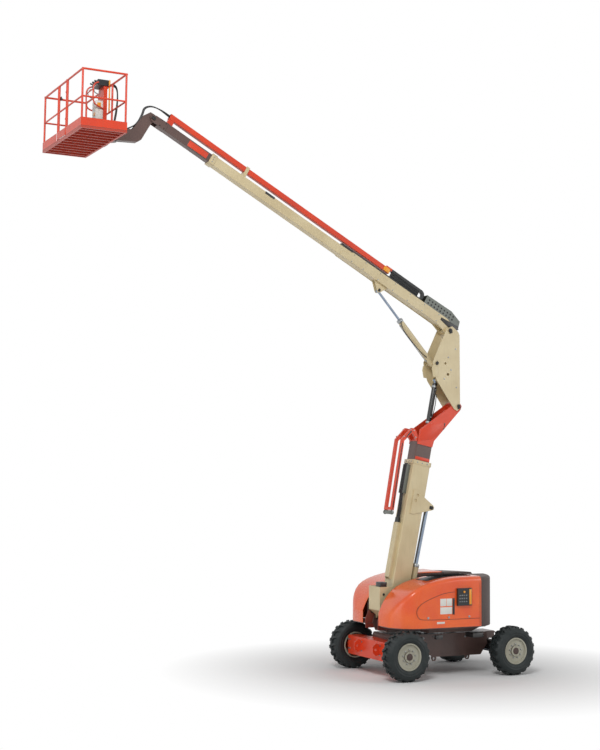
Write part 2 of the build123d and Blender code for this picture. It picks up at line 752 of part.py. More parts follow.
# Rear cover of the boom's hose loop
cover_half = boom_half - 1 - skin
cover_points = [
    (775, boom_high + skin), (775, 400), (110, 415), (-170, 330), (-210, 150), (-90, 170), (60, boom_high + skin),
]
cover_inner = [
    (790, boom_high - 10), (790, 396), (112, 411), (-165, 327), (-204, 160), (-100, 177), (56, boom_high - 10),
]
cover = slab(boom_side, cover_points, -cover_half, cover_half)
cover -= slab(boom_side, cover_inner, -cover_half + 4, cover_half - 4)
save(cover, "boom_rear_cover")

# Hose chain on top of the boom: lower run, loop and upper run
chain_low = boom_high + 8
chain_link = 56.0
chain_top = 441.0
loop_radius = (chain_top - chain_low) / 2
loop_mid = chain_low + loop_radius
with BuildPart() as boom_chain:
    with BuildSketch(boom_side.offset(-38)):
        with BuildLine():
            Polyline((2990, chain_low), (920, chain_low))
            ThreePointArc((920, chain_low), (920 - loop_radius, loop_mid), (920, chain_top))
            Polyline((920, chain_top), (push_start - 40, chain_top), (push_start - 40, chain_top - chain_link),
                     (920, chain_top - chain_link))
            ThreePointArc((920, chain_top - chain_link), (920 - loop_radius + chain_link, loop_mid),
                          (920, chain_low + chain_link))
            Polyline((920, chain_low + chain_link), (2990, chain_low + chain_link), (2990, chain_low))
        make_face()
    extrude(amount=76)
save(boom_chain.part, "boom_chain")

# Slide pads in the boom's mouth
inner_low = boom_low + boom_wall + 4
inner_depth = boom_depth - 2 * boom_wall - 8
inner_width = boom_width - 2 * boom_wall - 8
mouth = [(boom_length - 120, 0), (boom_length, 0)]
pads = slab(boom_side, [(boom_length - 120, boom_low + boom_wall), (boom_length - 120, inner_low - skin),
                        (boom_length, inner_low - skin), (boom_length, boom_low + boom_wall)], -50, 50)
pads += slab(boom_side, [(boom_length - 120, boom_high - boom_wall), (boom_length - 120, inner_low + inner_depth + skin),
                         (boom_length, inner_low + inner_depth + skin), (boom_length, boom_high - boom_wall)], -50, 50)
pads += pair(boom_side, [(boom_length - 120, 60), (boom_length - 120, 160), (boom_length, 160), (boom_length, 60)],
             inner_width / 2 + skin, boom_half - boom_wall)
save(pads, "boom_pads")

# Main boom fly with its tip plates
with BuildPart() as boom_fly:
    add(box_tube(boom_side, boom_fly_start, boom_fly_end, inner_low, inner_depth, inner_width, boom_fly_wall))
    add(pair(boom_side, [(7300, inner_low + 6), (7300, inner_low + inner_depth - 6), (tip_along - 20, tip_across + 76),
                         (tip_along + 60, tip_across + 44), (tip_along + 74, tip_across - 20),
                         (tip_along + 20, tip_across - 72)], inner_width / 2 - 1, inner_width / 2 + 13))
    add(cross_pin(at_boom(tip_along, tip_across), tip_pin, inner_width / 2 + 18))
save(boom_fly.part, "boom_fly")

# Push tube that carries the hoses along with the fly, with the bracket that leads the chain in
with BuildPart() as push_tube:
    add(box_tube(boom_side, push_start, push_end, push_low, push_depth, push_width, push_wall))
    add(slab(boom_side, [(7210, inner_low + inner_depth + skin), (7210, push_low + 1), (7330, push_low + 1),
                         (7330, inner_low + inner_depth + skin)], -40, 40))
    add(slab(boom_side, [(push_start - 40 + skin, chain_top - chain_link), (push_start - 40 + skin, chain_top - 4),
                         (push_start + 110, push_low + push_depth + 26), (push_start + 110, push_low + push_depth - 1),
                         (push_start - 10, push_low + push_depth - 1), (push_start - 10, chain_top - chain_link)],
             -48, 48))
save(push_tube.part, "push_tube")

# Upper lift cylinder
upper_base = Vector(upper_base_x, 0, upper_base_z)
upper_eye = at_boom(upper_eye_along, upper_eye_across)
upper_way = (upper_eye - upper_base).normalized()
barrel = bar(upper_base - upper_way * 30, upper_base + upper_way * upper_barrel_length, upper_barrel_radius)
barrel += cross_pin(upper_base, 48, 70)
barrel -= cross_pin(upper_base, upper_pin + 6 + skin, 120)
barrel -= bar(upper_base + upper_way * 80, upper_base + upper_way * (upper_barrel_length + 10), upper_rod_radius + skin)
save(barrel, "upper_barrel")
rod = bar(upper_base + upper_way * upper_rod_start, upper_eye - upper_way * 10, upper_rod_radius)
rod += cross_pin(upper_eye, 34, 30)
rod += cross_pin(upper_eye, upper_pin, 39)
save(rod, "upper_rod")

# Platform support: cranked plates from the boom tip down to the turning head
tip = at_boom(tip_along, tip_across)
support_in = 52.0
support_out = 68.0
support_points = [
    (-tip.X - 20, tip.Z - 74), (-tip.X - 74, tip.Z + 10), (-tip.X - 30, tip.Z + 78), (-tip.X + 60, tip.Z + 120),
    (-tip.X + 200, tip.Z + 40), (6724, 10420), (-turn_x - 60, 10420), (-turn_x - 60, 10172), (6619, 10190), (6540, 10240),
    (-tip.X + 40, tip.Z - 90),
]
with BuildPart() as platform_support:
    add(pair(level_side, support_points, support_in, support_out))
    add(cross_pin(tip, 62, inner_width / 2 - 1 - running_gap))
    add(slab(level_side, [(6560, 10225), (6619, 10192), (-turn_x - 90, 10176), (-turn_x - 90, 10186), (6622, 10202),
                          (6566, 10234)], -support_in, support_in))
    with Locations((turn_x, 0, (turn_bottom + turn_top) / 2)):
        Cylinder(turn_radius, turn_top - turn_bottom)
    add(cross_pin(tip, tip_pin + skin, 150), mode=Mode.SUBTRACT)
save(platform_support.part, "platform_support")

# Turning bracket: plates above and below the head, bolted to the platform
platform_edge = turn_x - platform_inset
with BuildPart() as turn_bracket:
    for low in (turn_bottom - skin - 20, turn_top + skin):
        with BuildSketch(Plane.XY.offset(low)):
            with Locations((turn_x, 0)):
                Circle(88)
            with Locations(((turn_x + platform_edge + 12) / 2, 0)):
                Rectangle(turn_x - platform_edge - 12, 176)
        extrude(amount=20)
    with Locations((platform_edge + 6, 0, (floor_bottom + turn_top + 24) / 2)):
        Box(12 - 2 * skin, 200, turn_top + 24 - floor_bottom)
save(turn_bracket.part, "turn_bracket")

# Platform floor: an edge frame, ribs and a deck sheet
floor_x1 = platform_edge
floor_x0 = platform_edge - platform_width
floor_top = floor_bottom + floor_depth + deck_sheet
half_long = platform_length / 2
with BuildPart() as platform_floor:
    with BuildSketch(Plane.XY.offset(floor_bottom)):
        with Locations(((floor_x0 + floor_x1) / 2, 0)):
            Rectangle(platform_width, platform_length)
            Rectangle(platform_width - 80, platform_length - 80, mode=Mode.SUBTRACT)
        with Locations(((floor_x0 + floor_x1) / 2, 0)):
            with GridLocations(0, 200, 1, 11):
                Rectangle(platform_width - 60, 30)
    extrude(amount=floor_depth)
    with BuildSketch(Plane.XY.offset(floor_bottom + floor_depth)):
        with Locations(((floor_x0 + floor_x1) / 2, 0)):
            Rectangle(platform_width, platform_length)
    extrude(amount=deck_sheet)
save(platform_floor.part, "platform_floor")

# Toe boards
gate_half = gate_width / 2
with BuildPart() as toe_boards:
    with BuildSketch(Plane.XY.offset(floor_top)):
        with Locations(((floor_x0 + floor_x1) / 2, 0)):
            Rectangle(platform_width, platform_length)
            Rectangle(platform_width - 2 * toe_sheet, platform_length - 2 * toe_sheet, mode=Mode.SUBTRACT)
        with Locations((floor_x0, 0)):
            Rectangle(60, gate_width + 4 * rail_radius, mode=Mode.SUBTRACT)
    extrude(amount=toe_height)
save(toe_boards.part, "toe_boards")

# Guard rails: a frame on each side, coped where two meet
rail_in = rail_radius + toe_sheet + 1
rail_x0 = floor_x0 + rail_in
rail_x1 = floor_x1 - rail_in
rail_y = half_long - rail_in
rail_top = floor_bottom + rail_height - rail_radius
rail_mid = floor_bottom + mid_rail_height
for side_name, side in (("near", -1), ("far", 1)):
    y = side * rail_y
    with BuildPart() as end_rail:
        for x in (rail_x0, rail_x1):
            add(bar((x, y, floor_top), (x, y, rail_top), rail_radius))
        add(bar((rail_x0 - rail_radius, y, rail_top), (rail_x1 + rail_radius, y, rail_top), rail_radius))
        add(bar((rail_x0, y, rail_mid), (rail_x1, y, rail_mid), mid_rail_radius))
    save(end_rail.part, "rail_" + side_name)

gate_pivot = -gate_half + running_gap + rail_radius
long_spans = {
    "rail_inner": [(rail_x1, -rail_y, rail_y, (-380.0, 380.0))],
    "rail_outer": [(rail_x0, -rail_y, -gate_half - rail_radius, (-gate_half - rail_radius,)),
                   (rail_x0, gate_half + rail_radius, rail_y, (gate_half + rail_radius,))],
}
for rail_name, spans in long_spans.items():
    with BuildPart() as long_rail:
        for x, y0, y1, posts in spans:
            low = y0 if abs(y0) > rail_y - 1 else y0 - rail_radius
            high = y1 if abs(y1) > rail_y - 1 else y1 + rail_radius
            add(bar((x, low, rail_top), (x, high, rail_top), rail_radius))
            add(bar((x, y0, rail_mid), (x, y1, rail_mid), mid_rail_radius))
            for y in posts:
                add(bar((x, y, floor_top), (x, y, rail_top), rail_radius))
        if rail_name == "rail_outer":
            for z in (floor_top + 300, floor_top + 800):
                ring = bar((rail_x0, gate_pivot, z), (rail_x0, gate_pivot, z + 25), rail_radius + 8, rail_radius + skin)
                add(ring)
        for y in (-rail_y, rail_y):
            corner = spans[0][0]
            add(bar((corner, y, floor_top - 50), (corner, y, rail_top), rail_radius + skin), mode=Mode.SUBTRACT)
            for z in (rail_top, rail_mid):
                add(bar((corner - 60, y, z), (corner + 60, y, z), rail_radius + skin), mode=Mode.SUBTRACT)
    save(long_rail.part, rail_name)

# Gate in the outer side, with its own toe board
gate_y0 = -gate_half + running_gap
gate_y1 = gate_half - running_gap
with BuildPart() as gate:
    add(bar((rail_x0, gate_pivot, floor_top + 12), (rail_x0, gate_pivot, rail_top + rail_radius), rail_radius))
    add(bar((rail_x0, gate_y1 - rail_radius, floor_top + 12), (rail_x0, gate_y1 - rail_radius, rail_top), rail_radius))
    add(bar((rail_x0, gate_pivot, rail_top), (rail_x0, gate_y1, rail_top), rail_radius))
    add(bar((rail_x0, gate_y0 + rail_radius, rail_mid), (rail_x0, gate_y1 - rail_radius, rail_mid), mid_rail_radius))
    with Locations((rail_x0 - rail_radius - 2, (gate_pivot + gate_y1) / 2, floor_top + 12 + (toe_height - 12) / 2)):
        Box(toe_sheet + 4, gate_y1 - gate_pivot, toe_height - 12)
save(gate.part, "gate")

# Control console on the inner rail, with its column and guard loop
console = box(rail_x1 - 210, rail_x1 + rail_radius, -170, 170, rail_top + rail_radius + skin, rail_top + rail_radius + 110)
save(console, "console")
column = box(rail_x1 - rail_radius - 70, rail_x1 - rail_radius - skin, -150, 150, floor_top, rail_top + rail_radius)
save(column, "console_column")
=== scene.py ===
"""Articulating boom lift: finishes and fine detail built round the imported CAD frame."""

import json
import logging
import math
from dataclasses import dataclass
from enum import Enum
from typing import Iterable, Sequence

import bmesh
import bpy
from mathutils import Matrix, Vector

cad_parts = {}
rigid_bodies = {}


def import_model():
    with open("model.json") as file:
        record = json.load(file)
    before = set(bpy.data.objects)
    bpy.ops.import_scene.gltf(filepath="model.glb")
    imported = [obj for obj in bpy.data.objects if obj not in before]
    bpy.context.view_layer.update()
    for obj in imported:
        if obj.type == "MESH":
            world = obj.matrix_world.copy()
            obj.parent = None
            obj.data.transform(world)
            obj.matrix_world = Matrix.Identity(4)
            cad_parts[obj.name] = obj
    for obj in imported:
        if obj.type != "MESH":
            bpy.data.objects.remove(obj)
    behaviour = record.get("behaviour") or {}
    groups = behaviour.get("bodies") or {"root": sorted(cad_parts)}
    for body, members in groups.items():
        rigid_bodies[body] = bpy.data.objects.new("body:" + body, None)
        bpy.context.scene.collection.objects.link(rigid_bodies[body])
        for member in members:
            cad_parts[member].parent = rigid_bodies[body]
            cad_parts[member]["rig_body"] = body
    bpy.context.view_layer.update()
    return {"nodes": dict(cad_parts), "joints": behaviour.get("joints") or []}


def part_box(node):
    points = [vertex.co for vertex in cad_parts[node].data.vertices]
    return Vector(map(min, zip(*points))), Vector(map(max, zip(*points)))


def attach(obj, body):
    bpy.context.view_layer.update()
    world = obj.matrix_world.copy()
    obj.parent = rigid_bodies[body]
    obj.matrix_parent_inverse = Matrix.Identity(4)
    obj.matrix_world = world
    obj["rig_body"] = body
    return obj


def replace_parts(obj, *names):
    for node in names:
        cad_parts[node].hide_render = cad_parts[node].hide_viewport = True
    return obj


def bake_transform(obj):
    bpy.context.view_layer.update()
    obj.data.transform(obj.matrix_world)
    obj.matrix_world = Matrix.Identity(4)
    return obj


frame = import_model()
log = logging.getLogger("boom_lift")

# Size of the photograph, in pixels
PHOTO_WIDTH = 600
PHOTO_HEIGHT = 750

# Doubled vertices closer than this, in metres, are merged
MERGE = 1e-6

Place = Matrix | None
Point = Vector | Sequence[float]
Outline = Sequence[tuple[float, float]]


class Side(Enum):
    """Side of the machine: near faces the camera."""

    NEAR = -1.0
    FAR = 1.0


def linear(code: str) -> tuple[float, float, float, float]:
    """Turns an sRGB hex colour to linear.

    Args:
        code: six hex digits.

    Returns:
        Red, green, blue and alpha.
    """
    parts = [int(code[i:i + 2], 16) / 255 for i in (0, 2, 4)]
    flat = [c / 12.92 if c <= 0.04045 else ((c + 0.055) / 1.055) ** 2.4 for c in parts]
    return flat[0], flat[1], flat[2], 1.0


def add_node(tree: bpy.types.NodeTree, kind: str, inputs: dict | None = None, **settings) -> bpy.types.Node:
    """Adds one shader node.

    Args:
        tree: the node tree.
        kind: the node's type after "ShaderNode".
        inputs: sockets by name or number, each a value or an output to link.
        **settings: attributes of the node.

    Returns:
        The node.
    """
    made = tree.nodes.new("ShaderNode" + kind)
    for key, value in settings.items():
        setattr(made, key, value)
    for key, value in (inputs or {}).items():
        if isinstance(value, bpy.types.NodeSocket):
            tree.links.new(value, made.inputs[key])
        else:
            made.inputs[key].default_value = value
    return made


def mix(tree: bpy.types.NodeTree, factor, first, second, blend: str = "MIX") -> bpy.types.NodeSocket:
    """Mixes two colours and returns the result's socket."""
    made = add_node(tree, "Mix", data_type="RGBA", blend_type=blend)
    for socket, value in ((made.inputs[0], factor), (made.inputs[6], first), (made.inputs[7], second)):
        if isinstance(value, bpy.types.NodeSocket):
            tree.links.new(value, socket)
        else:
            socket.default_value = value
    return made.outputs[2]


def remap(tree: bpy.types.NodeTree, value: bpy.types.NodeSocket, low: float, high: float,
          out_low: float = 0.0, out_high: float = 1.0) -> bpy.types.NodeSocket:
    """Maps a value's range to another, clamped, and returns the socket."""
    made = add_node(tree, "MapRange", {"Value": value, "From Min": low, "From Max": high,
                                       "To Min": out_low, "To Max": out_high})
    return made.outputs["Result"]


def new_material(name: str) -> tuple[bpy.types.Material, bpy.types.NodeTree, bpy.types.Node]:
    """Makes a material with one Principled shader.

    Args:
        name: the material's name.

    Returns:
        The material, its tree and the shader.
    """
    material = bpy.data.materials.new(name)
    material.use_nodes = True
    tree = material.node_tree
    tree.nodes.clear()
    shader = add_node(tree, "BsdfPrincipled")
    output = add_node(tree, "OutputMaterial")
    tree.links.new(shader.outputs[0], output.inputs["Surface"])
    return material, tree, shader


@dataclass(frozen=True)
class Enamel:
    """Two-pack enamel sprayed on welded steel: an even gloss, a faint orange peel, dust and rubbed edges."""

    name: str
    colour: str
    shade: str
    roughness: float = 0.36
    dust: float = 0.12
    wear: str = "B9B2A6"
    coat: float = 0.25
    low_colour: str = ""
    low_edge: float = 0.0

    def material(self) -> bpy.types.Material:
        """Builds the paint's material."""
        material, tree, shader = new_material(self.name)
        where = add_node(tree, "TexCoord").outputs["Object"]
        # Broad fading, about half a metre across
        fade = add_node(tree, "TexNoise", {"Vector": where, "Scale": 2.2, "Detail": 3.0}).outputs["Fac"]
        # Rain streaks, about 30 mm wide and ten times as long
        stretched = add_node(tree, "Mapping", {"Vector": where, "Scale": (30.0, 30.0, 3.0)})
        streak = add_node(tree, "TexNoise", {"Vector": stretched.outputs[0], "Scale": 1.0, "Detail": 4.0})
        # Specks of dust and grit, about 8 mm, coarser than real ones so that they show
        speck = add_node(tree, "TexNoise", {"Vector": where, "Scale": 120.0, "Detail": 2.0}).outputs["Fac"]
        base = mix(tree, remap(tree, fade, 0.35, 0.7), linear(self.colour), linear(self.shade))
        # Below low_edge the low colour; on the platform floor the colour above it is painted shade between the
        # ribs
        if self.low_colour:
            height = add_node(tree, "SeparateXYZ", {"Vector": where}).outputs["Z"]
            base = mix(tree, remap(tree, height, self.low_edge - 0.004, self.low_edge + 0.004),
                       linear(self.low_colour), base)
        grime = add_node(tree, "Math", {0: remap(tree, streak.outputs["Fac"], 0.5, 0.8), 1: self.dust},
                         operation="MULTIPLY").outputs[0]
        base = mix(tree, grime, base, linear("7A6A58"))
        # Rubbed edges: where the rounded normal leaves the face's own, the primer shows through
        rounded = add_node(tree, "Bevel", {"Radius": 0.004}, samples=4).outputs[0]
        flat = add_node(tree, "NewGeometry").outputs["Normal"]
        turned = add_node(tree, "VectorMath", {0: rounded, 1: flat}, operation="DOT_PRODUCT").outputs["Value"]
        edge = remap(tree, turned, 0.96, 0.86)
        broken = remap(tree, speck, 0.5, 0.66, 0.12, 0.75)
        rubbed = add_node(tree, "Math", {0: edge, 1: broken}, operation="MULTIPLY")
        base = mix(tree, rubbed.outputs[0], base, linear(self.wear))
        tree.links.new(base, shader.inputs["Base Color"])
        rough = remap(tree, speck, 0.3, 0.75, self.roughness - 0.04, self.roughness + 0.14)
        tree.links.new(rough, shader.inputs["Roughness"])
        # Orange peel of sprayed paint, about 4 mm
        peel = add_node(tree, "TexNoise", {"Vector": where, "Scale": 260.0, "Detail": 1.0}).outputs["Fac"]
        relief = {"Strength": 0.05, "Distance": 0.002, "Height": peel, "Normal": rounded}
        bump = add_node(tree, "Bump", relief)
        tree.links.new(bump.outputs[0], shader.inputs["Normal"])
        shader.inputs["IOR"].default_value = 1.5
        shader.inputs["Coat Weight"].default_value = self.coat
        shader.inputs["Coat Roughness"].default_value = 0.12
        return material


@dataclass(frozen=True)
class TyreRubber:
    """Vulcanised tyre rubber: dull black with dust in the tread and a faint ribbed sidewall."""

    name: str = "vulcanised_rubber"

    def material(self) -> bpy.types.Material:
        """Builds the rubber's material."""
        material, tree, shader = new_material(self.name)
        where = add_node(tree, "TexCoord").outputs["Object"]
        blot = add_node(tree, "TexNoise", {"Vector": where, "Scale": 7.0, "Detail": 5.0}).outputs["Fac"]
        grain = add_node(tree, "TexNoise", {"Vector": where, "Scale": 180.0, "Detail": 3.0}).outputs["Fac"]
        base = mix(tree, remap(tree, blot, 0.35, 0.75), linear("091416"), linear("131D1E"))
        base = mix(tree, remap(tree, grain, 0.52, 0.8, 0.0, 0.25), base, linear("4B4A42"))
        tree.links.new(base, shader.inputs["Base Color"])
        tree.links.new(remap(tree, blot, 0.3, 0.7, 0.55, 0.8), shader.inputs["Roughness"])
        rounded = add_node(tree, "Bevel", {"Radius": 0.005}, samples=4).outputs[0]
        relief = {"Strength": 0.25, "Distance": 0.002, "Height": grain, "Normal": rounded}
        bump = add_node(tree, "Bump", relief)
        tree.links.new(bump.outputs[0], shader.inputs["Normal"])
        shader.inputs["IOR"].default_value = 1.52
        return material


@dataclass(frozen=True)
class BareMetal:
    """Bare metal, ground, plated or cast: a narrow gloss broken by fine marks from its making."""

    name: str
    colour: str
    shade: str
    roughness: float
    grain: float = 300.0
    stretch: float = 12.0
    bump: float = 0.06

    def material(self) -> bpy.types.Material:
        """Builds the metal's material."""
        material, tree, shader = new_material(self.name)
        where = add_node(tree, "TexCoord").outputs["Object"]
        across = add_node(tree, "Mapping", {"Vector": where, "Scale": (self.grain, self.grain,
                                                                      self.grain / self.stretch)})
        marks = add_node(tree, "TexNoise", {"Vector": across.outputs[0], "Scale": 1.0, "Detail": 3.0})
        mark = marks.outputs["Fac"]
        cloud = add_node(tree, "TexNoise", {"Vector": where, "Scale": 9.0, "Detail": 3.0}).outputs["Fac"]
        base = mix(tree, remap(tree, cloud, 0.35, 0.7), linear(self.colour), linear(self.shade))
        tree.links.new(base, shader.inputs["Base Color"])
        tree.links.new(remap(tree, mark, 0.3, 0.7, self.roughness - 0.05, self.roughness + 0.1),
                       shader.inputs["Roughness"])
        bump = add_node(tree, "Bump", {"Strength": self.bump, "Distance": 0.001, "Height": mark})
        tree.links.new(bump.outputs[0], shader.inputs["Normal"])
        shader.inputs["Metallic"].default_value = 1.0
        return material


@dataclass(frozen=True)
class Moulded:
    """Moulded plastic or rubber hose: one through colour with a fine spark-eroded grain."""

    name: str
    colour: str
    shade: str
    roughness: float = 0.45
    grain: float = 420.0
    ior: float = 1.49

    def material(self) -> bpy.types.Material:
        """Builds the plastic's material."""
        material, tree, shader = new_material(self.name)
        where = add_node(tree, "TexCoord").outputs["Object"]
        cloud = add_node(tree, "TexNoise", {"Vector": where, "Scale": 6.0, "Detail": 3.0}).outputs["Fac"]
        grains = add_node(tree, "TexNoise", {"Vector": where, "Scale": self.grain, "Detail": 1.0})
        grain = grains.outputs["Fac"]
        base = mix(tree, remap(tree, cloud, 0.35, 0.7), linear(self.colour), linear(self.shade))
        tree.links.new(base, shader.inputs["Base Color"])
        tree.links.new(remap(tree, grain, 0.3, 0.7, self.roughness - 0.05, self.roughness + 0.08),
                       shader.inputs["Roughness"])
        rounded = add_node(tree, "Bevel", {"Radius": 0.002}, samples=4).outputs[0]
        relief = {"Strength": 0.12, "Distance": 0.0006, "Height": grain, "Normal": rounded}
        bump = add_node(tree, "Bump", relief)
        tree.links.new(bump.outputs[0], shader.inputs["Normal"])
        shader.inputs["IOR"].default_value = self.ior
        return material


FINISHES = {
    "hood_orange": Enamel("hood_orange_enamel", "F4661A", "EC5418", roughness=0.24, dust=0.05, coat=0.35),
    "boom_orange": Enamel("boom_orange_enamel", "E2431D", "D43C1E", roughness=0.34, dust=0.1, coat=0.1),
    "tan": Enamel("cream_enamel", "D8C8A0", "CDBB92", roughness=0.4, dust=0.1, wear="8A7A60"),
    # brown: painted shade, the machine's paint darkened where the chassis frame, turntable skirt, tower fly,
    # boom fly and platform head stand in shade
    "brown": Enamel("grey_brown_enamel", "5C443E", "4E3934", roughness=0.42, dust=0.12, wear="8C7A70"),
    "oxide": Enamel("dark_red_enamel", "7A3428", "6C3026", roughness=0.42, dust=0.15, wear="94706A"),
    "black": Enamel("black_enamel", "1A1B1C", "222222", roughness=0.4, dust=0.2, wear="55524E"),
    "grey": Enamel("grey_enamel", "6F756E", "656A64", roughness=0.45, dust=0.15, wear="A8A8A0"),
    "rim": Enamel("wheel_enamel", "ABA998", "9A9786", roughness=0.42, dust=0.35, wear="C9C7B8"),
    "yellow": Enamel("amber_enamel", "F7A51E", "F09A1A", roughness=0.34, dust=0.06),
    # deck: the near-black above low_edge is painted shade between the floor's ribs; below it the ribs' own red
    "deck": Enamel("deck_enamel", "1E1512", "2A1A16", roughness=0.5, dust=0.2, wear="77706A",
                   low_colour="B23A24", low_edge=10.095),
    "rubber": TyreRubber(),
    "rod": BareMetal("hard_chrome", "8E9AAA", "7C8798", roughness=0.16, bump=0.01),
    "steel": BareMetal("zinc_plated_steel", "A4A7A8", "8E9192", roughness=0.34, stretch=1.0),
    # iron: the hubs' cast colour; on the counterweight this grey-brown is painted shade, its paint darkened in
    # shade
    "iron": Moulded("painted_casting", "4A3A36", "3E302C", roughness=0.6, grain=160.0),
    "dark_iron": Moulded("engine_black", "161616", "222120", roughness=0.55, grain=160.0),
    "black_plastic": Moulded("moulded_black_plastic", "15171A", "1C1E20", roughness=0.38),
    "chain_plastic": Moulded("glass_filled_nylon", "17191A", "262829", roughness=0.5, ior=1.53),
    "hose": Moulded("hose_rubber", "121314", "1B1C1D", roughness=0.42, grain=700.0, ior=1.52),
    "pad": Moulded("cast_nylon", "BDB8A4", "B0AA96", roughness=0.5, ior=1.53),
    "vinyl": Moulded("white_vinyl", "E9E8E2", "DEDCD4", roughness=0.32, grain=900.0),
}


class Palette:
    """The machine's finishes, each built once."""

    def __init__(self) -> None:
        """Starts with nothing built."""
        self.made: dict[str, bpy.types.Material] = {}

    def get(self, key: str) -> bpy.types.Material:
        """Returns the finish's material, building it when first asked for."""
        if key not in self.made:
            self.made[key] = FINISHES[key].material()
        return self.made[key]


palette = Palette()


def wear(node: str, key: str) -> None:
    """Gives a CAD node a finish."""
    data = frame["nodes"][node].data
    data.materials.clear()
    data.materials.append(palette.get(key))


NODE_FINISH = {
    "chassis_frame": "brown", "fixed_axle": "boom_orange", "steer_axle": "black", "steer_cylinder": "rod",
    "swing_bearing": "steel", "knuckle_near": "black", "knuckle_far": "black", "turntable_base": "brown",
    "foot_block": "tan", "counterweight": "iron", "channel_walls": "brown", "engine_block": "dark_iron",
    "hood_near": "hood_orange", "hood_far": "hood_orange", "louvre_cover": "black_plastic",
    "control_box": "black_plastic", "tower_base": "tan", "tower_gussets": "tan", "tower_trough": "tan",
    "tower_chain": "chain_plastic", "tower_pads": "pad", "tower_fly": "brown", "crank_arm": "boom_orange",
    "chain_guards": "boom_orange", "level_barrel": "black", "lift_barrel": "tan", "lift_rod": "rod",
    "level_rod": "rod", "upright": "tan", "upper_barrel": "tan", "upper_rod": "rod", "boom_base": "tan",
    "boom_rear_cover": "grey", "boom_chain": "chain_plastic", "boom_pads": "pad", "boom_fly": "brown",
    "push_tube": "boom_orange", "platform_support": "brown", "turn_bracket": "brown",
    "platform_floor": "deck", "toe_boards": "boom_orange", "rail_near": "boom_orange",
    "rail_far": "boom_orange", "rail_inner": "boom_orange", "rail_outer": "boom_orange",
    "gate": "boom_orange", "console": "black_plastic", "console_column": "boom_orange",
}
CORNERS = ("fixed_near", "fixed_far", "steer_near", "steer_far")


def joint(name: str) -> dict:
    """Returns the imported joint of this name."""
    return next(j for j in frame["joints"] if j["name"] == name)


@dataclass(frozen=True)
class Line:
    """A beam's own directions in the machine's middle plane: along it, across it, and to the far side."""

    origin: Vector
    along: Vector
    across: Vector

    def at(self, s: float, n: float, y: float = 0.0) -> Vector:
        """Returns the point at these lengths, in metres."""
        return self.origin + self.along * s + self.across * n + Vector((0.0, y, 0.0))

    def matrix(self) -> Matrix:
        """Returns the matrix that turns x, y, z to along, far side, across."""
        turned = Matrix((self.along, Vector((0.0, 1.0, 0.0)), self.across)).transposed().to_4x4()
        return Matrix.Translation(self.origin) @ turned


def beam(pivot: str, slide: str, rising: float) -> Line:
    """Finds a beam's directions from its pivot and its slide.

    Args:
        pivot: the hinge joint at its foot.
        slide: the slide joint along it.
        rising: sign of the across direction's height.

    Returns:
        The beam's directions.
    """
    along = Vector(joint(slide)["axis"]).normalized()
    across = Vector((along.z, 0.0, -along.x))
    if across.z * rising < 0:
        across = -across
    return Line(Vector(joint(pivot)["pos_m"]), along, across)


